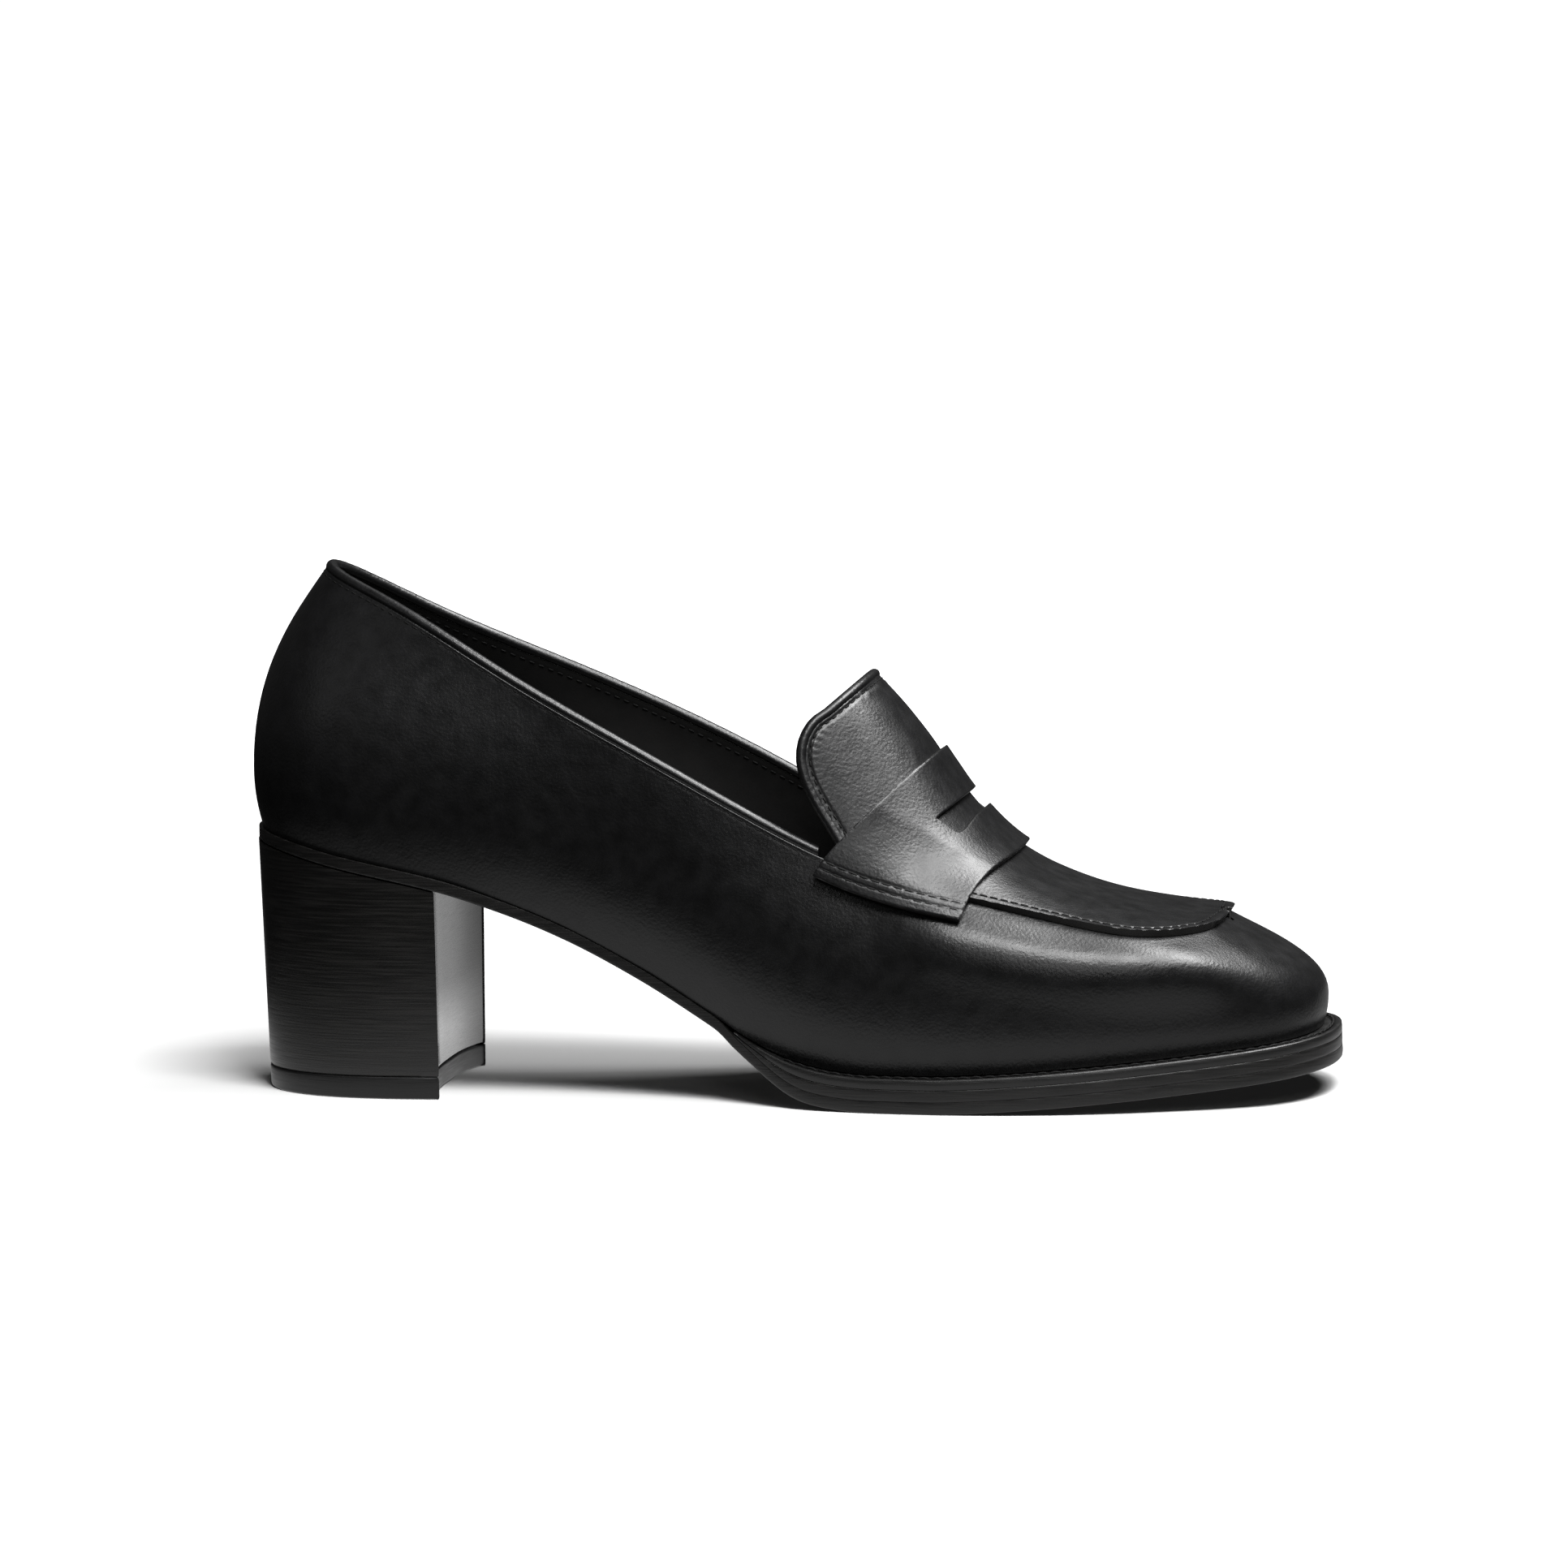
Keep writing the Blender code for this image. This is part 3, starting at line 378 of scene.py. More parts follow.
def insole_low_z(x):
    """Height of the insole's underside: over the upper's wall, which is deeper where the last slopes."""
    small = 1e-3
    slope = (feather_z(x + small) - feather_z(x - small)) / (2 * small)
    return feather_z(x) + UPPER_WALL * np.hypot(1, slope) + GAP


def tongue_edge(count):
    """x and z of points down the tongue's free edge, as the side view shows it."""
    edge_x, edge_up = rows_of(TONGUE_EDGE)
    steps = np.hypot(np.diff(edge_x) * LAST_LENGTH, np.diff(edge_up) * CROWN)
    knots = np.append(0, np.cumsum(steps)) / steps.sum()
    s = np.linspace(0, 1, count)
    root_z = LOOPS(t_at(np.array(TONGUE_ROOT * LAST_LENGTH)))[TOP_Z]
    x = hermite(knots, edge_x, np.gradient(edge_x, knots), s) * LAST_LENGTH
    return x, root_z + hermite(knots, edge_up, np.gradient(edge_up, knots), s) * CROWN


def strap_clearance(points):
    """How far points lie behind the strap's rear edge in the side view."""
    (low_x, low_z), (high_x, high_z) = STRAP_REAR
    low = np.array([low_x * LAST_LENGTH, low_z * BACK_HEIGHT + FOREPART])
    high = np.array([high_x * LAST_LENGTH, high_z * BACK_HEIGHT + FOREPART])
    along = (high - low) / np.linalg.norm(high - low)
    offset = points[:, [0, 2]] - low
    return -(offset[:, 0] * along[1] - offset[:, 1] * along[0])


def strap_edge_x(line, across):
    """x of a strap's edge, drawn in the side view, where each across line of the surface meets it."""
    share, rise = rows_of(line)
    drawn_x = share * LAST_LENGTH
    drawn_z = FOREPART + rise * BACK_HEIGHT
    x = np.full(across.shape, drawn_x.mean())
    for _ in range(40):
        z = over_point(x, across)[..., 2]
        x = (x + np.interp(z, drawn_z, drawn_x)) / 2
    return x


# How finely the surfaces are cut here, and the sizes that only the look has
COLUMNS = 240
CORD_SEGMENTS = 20
HEEL_BACK_POINTS = 161
MM = 0.001
BEAD_DROP = 0.0006
SEAM_GROOVE = 1.35 * MM
PLEATS_X, PLEATS_Z = 0.600 * LAST_LENGTH, 0.075

# How far the vamp's side stands outside the CAD part's
FULLNESS = 1.7 * MM
STRAP_SEAMS = {"lower": 2.2 * MM, "upper": 4.0 * MM}
STRAP_SMOOTHING = 420
SLOT_FIRST, SLOT_LAST = 26, 38

# Stitches in mm: pitch, length, width and height
APRON_STITCH = (2.3, 1.75, 0.50, 0.36)
TONGUE_STITCH = (2.2, 1.3, 0.40, 0.34)
COLLAR_STITCH = (2.3, 1.5, 0.40, 0.34)
LINING_STITCH = (2.3, 1.4, 0.40, 0.30)
STRAP_STITCH = (2.7, 2.1, 0.50, 0.42)
WELT_STITCH = (2.9, 2.75, 0.62, 0.55)

# t against x on the lateral side, finer towards the heel's back and the toe's tip
T_TABLE = (1 - np.cos(np.linspace(0, np.pi, 20001))) / 2
X_TABLES = {column: LOOPS(T_TABLE)[:, column] for column in (FOOT_X, TOP_X)}


def t_at(x, column=TOP_X, medial=False):
    """The loop parameter where the foot or the top line reaches x on one side."""
    t = np.interp(x, X_TABLES[column], T_TABLE)
    return 2 - t if medial else t


def unit(vectors):
    return vectors / np.maximum(np.linalg.norm(vectors, axis=-1, keepdims=True), 1e-12)


def dip(distance, place, width):
    """A soft groove's depth, from 0 to 1, at a distance from an edge."""
    return np.exp(-((distance - place) / width) ** 2)


def circle(count):
    """Angles round a full turn."""
    return np.linspace(0, 2 * np.pi, count, endpoint=False)


def rounded(distance, radius):
    """How far a rounded edge has risen at a distance from it, from 0 to 1."""
    s = np.clip(distance / radius, 0, 1)
    return np.sqrt(1 - (1 - s) ** 2)


def nearest(points, line):
    """Distance from each point to the nearest point of a line of points."""
    shape = points.shape[:-1]
    flat = points.reshape(-1, 3)
    best = np.full(len(flat), np.inf)
    for start in range(0, len(line), 64):
        part = line[start:start + 64]
        gap = np.linalg.norm(flat[:, None] - part[None], axis=2).min(1)
        best = np.minimum(best, gap)
    return best.reshape(shape)


def distances(points):
    """How far along a line each of its points lies."""
    return np.append(0, np.cumsum(np.linalg.norm(np.diff(points, axis=0), axis=1)))


def sampled(points, along, places):
    """Rows of three values, given at distances along a line, at other places along it."""
    return np.stack([np.interp(places, along, points[:, k]) for k in range(3)], 1)


def resample(points, spacing):
    """The same line with points a spacing apart."""
    along = distances(points)
    count = max(int(round(along[-1] / spacing)), 2)
    return sampled(points, along, np.linspace(0, along[-1], count + 1))


def unevenness(points, size, seed):
    """A gentle, smooth unevenness between about -1 and 1 with bumps of about this size."""
    rng = np.random.default_rng(seed)
    waves = rng.normal(size=(10, 3)) / size
    phases = rng.uniform(0, 2 * np.pi, 10)
    return np.sin(points @ waves.T * 1.6 + phases).sum(-1) / 4.5


# Pieces

def add_object(name, data):
    made = bpy.data.objects.new(name, data)
    bpy.context.scene.collection.objects.link(made)
    return made


def add_piece(name, verts, faces, materials, node, picks=None, sharp=40):
    """A mesh piece in the CAD's frame that rides on the one body and stands for a CAD node."""
    mesh = bpy.data.meshes.new(name)
    mesh.from_pydata((np.asarray(verts) - ORIGIN).tolist(), [], [tuple(face) for face in faces])
    for made in materials:
        mesh.materials.append(made)
    if picks is not None:
        mesh.polygons.foreach_set("material_index", np.asarray(picks, np.int32))
    mesh.validate()
    mesh.update()
    mesh.shade_smooth()
    mesh.set_sharp_from_angle(angle=math.radians(sharp))
    piece = add_object(name, mesh)
    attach(piece, "root")
    if node:
        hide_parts(node)
    return piece


def grid_quads(rows, columns, closed=False, keep=None, first=0):
    """Quads over a grid whose points are numbered row by row."""
    i, j = np.meshgrid(np.arange(rows - 1), np.arange(columns if closed else columns - 1), indexing="ij")
    if keep is not None:
        chosen = keep(i, j)
        i, j = i[chosen], j[chosen]
    i, j = i.ravel(), j.ravel()
    k = (j + 1) % columns
    quads = np.stack([i * columns + j, i * columns + k, (i + 1) * columns + k, (i + 1) * columns + j], 1)
    return (quads + first).tolist()


def rim_edges(quads):
    """The directed edges that only one quad uses, in that quad's order."""
    seen = {}
    for quad in quads:
        for a, b in zip(quad, quad[1:] + quad[:1]):
            seen[(a, b)] = True
    return [edge for edge in seen if edge[::-1] not in seen]


def leather_piece(name, low, high, materials, node, keep=None, sharp=40):
    """A piece of leather between an inner and an outer grid. Its outside takes the first material, its
    inside the second and its cut edge the third."""
    rows, columns = high.shape[:2]
    count = rows * columns
    outer = grid_quads(rows, columns, keep=keep)
    inner = [[face + count for face in quad[::-1]] for quad in outer]
    walls = [[b, a, a + count, b + count] for a, b in rim_edges(outer)]
    verts = np.concatenate([high.reshape(-1, 3), low.reshape(-1, 3)])
    used = np.zeros(len(verts), bool)
    for quad in outer + inner:
        used[quad] = True
    renumber = np.cumsum(used) - 1
    faces = [[renumber[k] for k in face] for face in outer + inner + walls]
    picks = [0] * len(outer) + [1] * len(inner) + [2] * len(walls)
    return add_piece(name, verts[used], faces, materials, node, picks, sharp)


def add_cord(name, line, side, up, radii, materials, node):
    """A rolled edge: a round section swept along a line, with its own side and up directions."""
    segments = CORD_SEGMENTS
    angle = circle(segments)
    turn = side[:, None] * np.cos(angle)[None, :, None] + up[:, None] * np.sin(angle)[None, :, None]
    verts = (line[:, None] + turn * radii[..., None]).reshape(-1, 3)
    faces = grid_quads(len(line), segments, closed=True)
    faces.append(list(range(segments))[::-1])
    faces.append(list(range(len(verts) - segments, len(verts))))
    return add_piece(name, verts, faces, materials, node)


def add_stitches(name, line, normal, stitch, material, arch=0.0):
    """Thread along a line: one rounded stitch per pitch, its middle raised by the arch."""
    pitch, length, width, height = np.array(stitch) * MM
    along = distances(line)
    count = max(int(round(along[-1] / pitch)), 1)
    places = (np.arange(count) + 0.5) * along[-1] / count
    centre = sampled(line, along, places)
    reach = 0.3 * MM
    tangent = unit(sampled(line, along, places + reach) - sampled(line, along, places - reach))
    up = sampled(normal, along, places)
    up = unit(up - tangent * (up * tangent).sum(-1, keepdims=True))
    side = np.cross(tangent, up)
    share = np.array([-1.0, -0.86, -0.55, 0.0, 0.55, 0.86, 1.0])
    radius = np.array([0.25, 0.70, 0.96, 1.0, 0.96, 0.70, 0.25]) / 2
    rings, columns = len(share), 8
    angle = circle(columns)[:, None]
    verts, faces = [], []
    for k in range(count):
        for s, r in zip(share, radius):
            middle = centre[k] + tangent[k] * s * length / 2 + up[k] * arch * (1 - s * s)
            verts.append(middle + side[k] * np.cos(angle) * r * width + up[k] * np.sin(angle) * r * height)
        start, end = k * rings * columns, (k + 1) * rings * columns
        faces += grid_quads(rings, columns, closed=True, first=start)
        faces += [list(range(start, start + columns))[::-1], list(range(end - columns, end))]
    return add_piece(name, np.concatenate(verts), faces, [material], None, sharp=60)


def add_upper(finish):
    """The vamp and quarters, one shell with its lining: the wall, and under the apron its cap."""
    side = np.linspace(0, 1, COLUMNS + 1)
    around = np.concatenate([side, 2 - side[-2:0:-1]])
    margin = loop_xy(around, np.full(len(around), -LASTING_MARGIN))
    rows = [np.column_stack([margin, feather_z(margin[:, 0])])]
    v = [np.linspace(0, 0.25, 11)[:-1], np.linspace(0.25, 0.88, 16)[:-1], np.linspace(0.88, 1, 17)]
    v = np.concatenate(v)
    wall = wall_point(around[None, :], v[:, None])
    steps = np.linalg.norm(np.diff(wall, axis=0), axis=2)
    below = np.vstack([np.cumsum(steps[::-1], 0)[::-1], np.zeros(len(around))])
    normal = unit(np.cross(np.gradient(wall, axis=1), np.gradient(wall, axis=0)))
    share = LOOPS(around)[:, TOP_X] / LAST_LENGTH
    # The groove of the collar's stitches, the vamp's fuller side and a gentle unevenness
    collar = 1 - smooth_step(share, 0.535, 0.56)
    depth = -0.06 * MM * dip(below, 0.9 * MM, 0.35 * MM) * collar
    fore = smooth_step(share, 0.60, 0.68) * (1 - smooth_step(share, 0.86, 0.905))
    full = smooth_step(below, 0.001, 0.011) - smooth_step(below, 0.012, 0.023)
    depth += FULLNESS * full * fore
    depth += 0.14 * MM * unevenness(wall, 0.020, 3) * smooth_step(below, 0.002, 0.012)
    wall = wall + normal * depth[..., None]
    grid = np.stack(rows + list(wall))
    verts = [grid.reshape(-1, 3)]
    faces = grid_quads(len(grid), len(around), closed=True)

    top_x = LOOPS(side)[:, TOP_X]
    front = side[(top_x > THROAT_SIDE * LAST_LENGTH) & (side < 1)]
    front_x = LOOPS(front)[:, TOP_X]
    share = np.clip((front_x - front_x[0]) / (0.2 * LAST_LENGTH), 0, 1)
    skew = (THROAT_RIDGE - THROAT_SIDE) * LAST_LENGTH * (1 - share) ** 2
    columns = 41
    across = np.linspace(-1, 1, columns)
    x = front_x[:, None] + skew[:, None] * (1 - np.abs(across))
    cap = over_point(x, np.broadcast_to(across, x.shape))
    first = grid.shape[0] * grid.shape[1]
    verts.append(cap.reshape(-1, 3))
    faces += [quad[::-1] for quad in grid_quads(len(cap), columns, first=first)]
    tip = first + len(front) * columns
    verts.append(LOOPS(1.0)[None, TOP_X:TOP_Z + 1])
    last = tip - columns
    faces += [[last + k + 1, last + k, tip] for k in range(columns - 1)]

    piece = add_piece("vamp_and_quarters", np.concatenate(verts), faces,
                      [finish["calf"], finish["lining"], finish["edge"]], "upper")
    bpy.context.view_layer.objects.active = piece
    weld = piece.modifiers.new("Weld", "WELD")
    weld.merge_threshold = 0.00005
    shell = piece.modifiers.new("Wall", "SOLIDIFY")
    shell.thickness = UPPER_WALL
    shell.offset = -1
    shell.material_offset = 1
    shell.material_offset_rim = 2
    return piece


def apron_grid():
    """x and across over the apron and tongue, finest along the rim."""
    tongue, seam, half_count = 90, 150, 50
    free_x, free_z = tongue_edge(tongue)
    start = t_at(np.array(TONGUE_ROOT * LAST_LENGTH))
    slowing = np.sin(np.linspace(0, 1, seam)[1:] * math.pi / 2)
    seam_t = start + (0.992 - start) * slowing
    seam_x = LOOPS(seam_t)[:, TOP_X]
    lateral = np.append(across_at_height(free_x, free_z)[:-1], np.full(seam, -1.0))
    medial = np.append(across_at_height(free_x, free_z, medial=True)[:-1], np.full(seam, 1.0))
    edge = np.append(free_x, seam_x)
    top, tip = TONGUE_TOP * LAST_LENGTH, LOOPS(1.0)[TOP_X]
    middle = np.append(np.linspace(0, 0.5, tongue), 0.5 + 0.5 * slowing)
    ridge = np.maximum(top + (tip - top) * middle * 0.998, edge)
    half = np.append(np.linspace(0, 0.12, 20), np.linspace(0.12, 1, half_count - 19)[1:])
    x = edge[:, None] + (ridge - edge)[:, None] * half * (2 - half)
    left, right = lateral[:, None] * (1 - half), medial[:, None] * (1 - half)
    x, across = np.hstack([x, x[:, -2::-1]]), np.hstack([left, right[:, -2::-1]])
    return x, across, tongue


def free_rim(grid, tongue):
    """The values of the apron's grid round the tongue's free edge, from the lateral root to the medial."""
    return np.concatenate([grid[tongue - 1::-1, 0], grid[0, 1:-1], grid[:tongue, -1]])


def inside_rim(high, distance, first, gap):
    """The points of a surface's rows, from the first row on, that lie this far inside its rim."""
    near_rim = slice(0, 40)
    line = []
    for points, away in zip(high[first:, near_rim], distance[first:, near_rim]):
        line.append(sampled(points, np.maximum.accumulate(away), [gap])[0])
    return np.array(line)


def add_apron(finish):
    """The apron and the tongue, with the stitched strip along the seam and the tongue's bound edge."""
    x, across, tongue = apron_grid()
    base = over_point(x, across)
    normal = over_normal(x, across, 1.0)
    last = len(x) - 1
    rim = np.concatenate([base[::-1, 0], base[0, 1:-1], base[:, -1], base[last, -2:0:-1]])
    rim = resample(rim, 0.4 * MM)
    distance = nearest(base, rim)
    on_tongue = 1 - smooth_step(base[..., 0], 0.60 * LAST_LENGTH, 0.66 * LAST_LENGTH)
    rise = rounded(distance, 0.16 * MM)
    seam = dip(distance, SEAM_GROOVE, 0.22 * MM) * (1 - on_tongue)
    hem = dip(distance, 0.95 * MM, 0.30 * MM) * on_tongue
    along = np.arctan2(base[..., 2] - PLEATS_Z, base[..., 0] - PLEATS_X)
    pleats = np.sin(along * 58) * dip(distance, 1.8 * MM, 1.1 * MM) * on_tongue
    height = COVER_GAP + APRON_THICKNESS * (0.80 + 0.20 * rise)
    height += 0.05 * MM * pleats - 0.20 * MM * seam - 0.25 * MM * hem
    height += 0.10 * MM * unevenness(base, 0.018, 8) * smooth_step(distance, 0.002, 0.010)
    high = base + normal * height[..., None]
    low = base + normal * (COVER_GAP * 0.4)
    leather_piece("apron_and_tongue", low, high, [finish["calf"], finish["lining"], finish["edge"]],
                  "apron_tongue")

    lateral = inside_rim(high, distance, tongue - 1, SEAM_GROOVE)
    medial = inside_rim(high[:, ::-1], distance[:, ::-1], tongue - 1, SEAM_GROOVE)
    ups = np.concatenate([normal[tongue - 1:, 12], normal[:tongue - 2:-1, -13]])
    line = np.concatenate([lateral, medial[::-1]]) + ups * 0.12 * MM
    add_stitches("apron_seam_stitches", line, ups, APRON_STITCH, finish["thread"])

    rim_line, rim_up = free_rim(base, tongue), free_rim(normal, tongue)
    inward = np.cross(np.gradient(rim_line, axis=0), rim_up)
    line = rim_line + unit(inward) * 0.95 * MM + rim_up * (COVER_GAP + APRON_THICKNESS - 0.10 * MM)
    add_stitches("tongue_stitches", line, rim_up, TONGUE_STITCH, finish["thread"])


def add_tongue_binding(finish):
    """The rolled binding round the tongue's free edge, up to the strap's rear edge."""
    x, across, tongue = apron_grid()
    rim_x, rim_across = free_rim(x, tongue), free_rim(across, tongue)
    normal = over_normal(rim_x, rim_across, 1.0)
    rim = over_point(rim_x, rim_across) + normal * (COVER_GAP + APRON_THICKNESS / 2)
    clear = strap_clearance(rim) > -1.0 * MM
    rim, normal = rim[clear], normal[clear]
    line = resample(rim, 0.6 * MM)
    closest = [np.argmin(np.linalg.norm(rim - point, axis=1)) for point in line]
    up = unit(normal[closest])
    away = unit(np.cross(up, np.gradient(line, axis=0)))
    radius = TONGUE_BINDING_DIAMETER / 2
    line = line + away * (radius - 0.35 * MM)
    wave = np.sin(np.arange(len(line)) * 1.9)[:, None] * 0.02 * MM
    add_cord("tongue_roll", line, away, up, np.tile(radius + wave, (1, CORD_SEGMENTS)), [finish["calf"]],
             "tongue_binding")


def add_collar_binding(finish):
    """The rolled binding on the collar's rim, and the stitch rows below it outside and inside."""
    end = t_at(np.array((BINDING_END + 0.004) * LAST_LENGTH))
    t = np.mod(np.linspace(-end, end, 421), 2)
    rim, below = wall_point(t, 1.0), wall_point(t, 0.94)
    up = unit(rim - below)
    out = np.column_stack([outward(t, TOP_X), np.zeros(len(t))])
    out = unit(out - up * (out * up).sum(-1, keepdims=True))
    line = rim - out * UPPER_WALL / 2 + up * (GAP + BINDING_DIAMETER / 2 - BEAD_DROP)
    angle = circle(CORD_SEGMENTS)
    step = np.arange(len(t))
    wrinkle = 0.018 * MM * np.sin(step * 1.7) + 0.015 * MM * np.sin(step * 0.61)
    radii = BINDING_DIAMETER / 2 + wrinkle[:, None] * np.clip(np.sin(angle), 0, 1)[None]
    add_cord("collar_roll", line, out, up, radii, [finish["calf"]], "collar_binding")
    outside = rim - up * 0.95 * MM - out * 0.10 * MM
    add_stitches("collar_stitches", outside, out, COLLAR_STITCH, finish["thread"])
    inside = rim - up * 1.7 * MM - out * (UPPER_WALL + 0.05 * MM)
    add_stitches("collar_lining_stitches", inside, -out, LINING_STITCH, finish["thread"])


def strap_rows():
    """Across values of the lines along the strap, one side and then mirrored."""
    end = (STRAP_END_REAR + STRAP_END_FRONT) / 2
    places = ((0, 0.55, 34), (0.55, 0.61, 9), (0.61, 0.985, 26), (0.985, 1.10, 18), (1.10, end, 10))
    lines = np.concatenate([np.linspace(*place)[min(k, 1):] for k, place in enumerate(places)])
    return np.concatenate([-lines[:0:-1], lines])


def eased(count):
    """Shares from 0 to 1, closest together at both ends."""
    return (1 - np.cos(np.linspace(0, np.pi, count)))[:, None] / 2


def strap_base(lines):
    """The strap's underside, and where its rows lie across: down to the slot, over it and past it."""
    out, slot_rear, slot_front = rows_of(SLOT)
    slot_rear = np.interp(np.abs(lines), out, slot_rear)
    slot_front = np.interp(np.abs(lines), out, slot_front)
    middle = slot_rear + (slot_front - slot_rear) * np.linspace(0, 1, 13)[1:-1, None]
    share = np.vstack([eased(27) * slot_rear, middle, slot_front + (1 - slot_front) * eased(27)])
    across = np.tile(lines, (len(share), 1))
    lower = 1.03
    for sign in (-1, 1):
        past = sign * lines > lower
        reach = (sign * lines[past] - lower) / ((sign * lines).max() - lower)
        end = STRAP_END_REAR + (STRAP_END_FRONT - STRAP_END_REAR) * share[:, past]
        across[:, past] = sign * (lower + (end - lower) * reach)
    table = np.linspace(-1.2, 1.2, 481)
    rear_x = np.interp(across, table, strap_edge_x(STRAP_REAR, table))
    front_x = np.interp(across, table, strap_edge_x(STRAP_FRONT, table))
    x = rear_x + (front_x - rear_x) * share
    raised = 1 - 0.45 * smooth_step(np.abs(across), 1.00, 1.12)
    height = COVER_GAP * 0.6 + (COVER_GAP + APRON_THICKNESS) * raised
    base = over_point(x, across) + over_normal(x, across, STRAP_END_FRONT) * height[..., None]
    soft = smooth_step(np.abs(lines), 0.70, 0.90)[1:-1, None] * 0.5
    for _ in range(STRAP_SMOOTHING):
        base[:, 1:-1] += soft * ((base[:, 2:] + base[:, :-2]) / 2 - base[:, 1:-1])
    return base, across


def add_strap(finish):
    """The saddle strap with its slot, cut edges and the double rows of stitches at its ends."""
    lines = strap_rows()
    base, across = strap_base(lines)
    normal = unit(np.cross(np.gradient(base, axis=0), np.gradient(base, axis=1)))
    normal *= np.sign(normal[..., 2:].mean())
    rim = np.concatenate([base[0], base[:, -1], base[-1, ::-1], base[::-1, 0]])
    beside = np.abs(lines) < 0.5835
    slot_rim = base[[SLOT_FIRST, SLOT_LAST]][:, beside].reshape(-1, 3)
    distance = np.minimum(nearest(base, resample(rim, 0.3 * MM)), nearest(base, slot_rim))
    ends = [nearest(base, resample(base[:, column], 0.3 * MM)) for column in (0, -1)]
    ends = np.minimum(*ends)
    rows = sum(dip(ends, gap, 0.24 * MM) for gap in STRAP_SEAMS.values())
    height = STRAP_THICKNESS * (0.80 + 0.20 * rounded(distance, 0.35 * MM))
    height -= 0.13 * MM * rows * smooth_step(np.abs(across), 0.96, 1.02)
    height += 0.07 * MM * unevenness(base, 0.016, 5) * smooth_step(distance, 0.001, 0.006)
    high = base + normal * height[..., None]

    def outside_slot(i, j):
        past_end = (np.abs(lines)[j] > 0.582) & (np.abs(lines)[j + 1] > 0.582)
        return (i < SLOT_FIRST) | (i >= SLOT_LAST) | past_end

    leather_piece("saddle", base, high, [finish["calf"], finish["edge"], finish["edge"]],
                  "saddle_strap", keep=outside_slot)
    trim = slice(4, -4)
    for name, column, inner in (("outer", 0, 14), ("inner", -1, -15)):
        edge, up = high[trim, column], normal[trim, column]
        inward = unit(high[trim, inner] - edge)
        for row, gap in STRAP_SEAMS.items():
            add_stitches(f"saddle_stitches_{name}_{row}", edge + inward * gap - up * 0.05 * MM, up,
                         STRAP_STITCH, finish["thread"])


def add_plate(name, rings, pairs, materials, node):
    """A flat piece from rings round its edge, with strips from side to side above and below."""
    rings = np.stack(rings)
    columns = rings.shape[1]
    faces = grid_quads(len(rings), columns, closed=True)
    for start, flip in ((0, False), ((len(rings) - 1) * columns, True)):
        for (a, b), (c, d) in zip(pairs, pairs[1:]):
            face = [start + a, start + b, start + d, start + c]
            face = [k for n, k in enumerate(face) if k not in face[:n]]
            if len(face) > 2:
                faces.append(face if flip else face[::-1])
    return add_piece(name, rings.reshape(-1, 3), faces, materials, node, sharp=50)


def add_layer(name, loop, profile, top_z, bottom_z, finish, node):
    """A layer of the sole, from its edge's profile."""
    t, pairs = loop
    rings = []
    fore = 0.12 + 0.88 * smooth_step(LOOPS(t)[:, FOOT_X], 0.46 * LAST_LENGTH, 0.56 * LAST_LENGTH)
    for offset, down, lift in profile:
        plan = loop_xy(t, sole_edge(t) + offset * MM * (fore if offset > 0 else 1.0))
        top, bottom = top_z(plan[:, 0]), bottom_z(plan[:, 0])
        share = np.clip((top - bottom) / 0.002, 0, 1)
        rings.append(np.column_stack([plan, top + (bottom - top) * down + lift * MM * share]))
    add_plate(name, rings, pairs, [finish], node)


def full_loop():
    side = np.linspace(0, 1, COLUMNS + 1)
    t = np.concatenate([side, 2 - side[-2:0:-1]])
    return t, [(k, (len(t) - k) % len(t)) for k in range(COLUMNS + 1)]


def fore_loop():
    side = np.linspace(0, 1, 2 * COLUMNS + 1)
    side = side[wedge(LOOPS(side)[:, FOOT_X]) > 1.3 * WEDGE_LEAST]
    t = np.concatenate([side, 2 - side[-2::-1]])
    return t, [(k, len(t) - 1 - k) for k in range(len(side))]


# Edge profiles: offset from the sole's edge in mm, share of the thickness down, and height in mm
OUTSOLE_EDGE = (
    (-6.0, 0.0, 0.12), (-0.06, 0.0, 0.12), (0.03, 0.0, 0.07), (0.09, 0.10, 0), (0.12, 0.30, 0),
    (0.14, 0.50, 0), (0.12, 0.72, 0), (0.06, 0.90, 0), (-0.14, 0.98, 0), (-0.5, 1.0, 0), (-6.0, 1.0, 0.0),
)
MIDSOLE_EDGE = (
    (-6.0, 0.0, 0.14), (-0.05, 0.0, 0.14), (0.01, 0.02, 0.10), (0.03, 0.20, 0), (0.05, 0.50, 0),
    (0.03, 0.80, 0), (0.01, 0.98, -0.10), (-0.05, 1.0, -0.14), (-6.0, 1.0, -0.14),
)
WELT_TOP = (
    (-12.5, 0.0, 0.0), (-4.6, 0.0, 0.0), (-3.4, 0.0, -0.02), (-2.9, 0.0, -0.06), (-2.55, 0.0, -0.22),
    (-2.25, 0.0, -0.42), (-1.95, 0.0, -0.46), (-1.65, 0.0, -0.40), (-1.38, 0.0, -0.20), (-1.10, 0.0, -0.06),
    (-0.80, 0.0, 0.03), (-0.58, 0.0, 0.02), (-0.36, 0.0, -0.05), (-0.18, 0.0, -0.17), (-0.06, 0.0, -0.34),
    (0.02, 0.5, 0.0), (0.0, 0.96, -0.08), (-0.14, 1.0, -0.14), (-12.5, 1.0, -0.14),
)


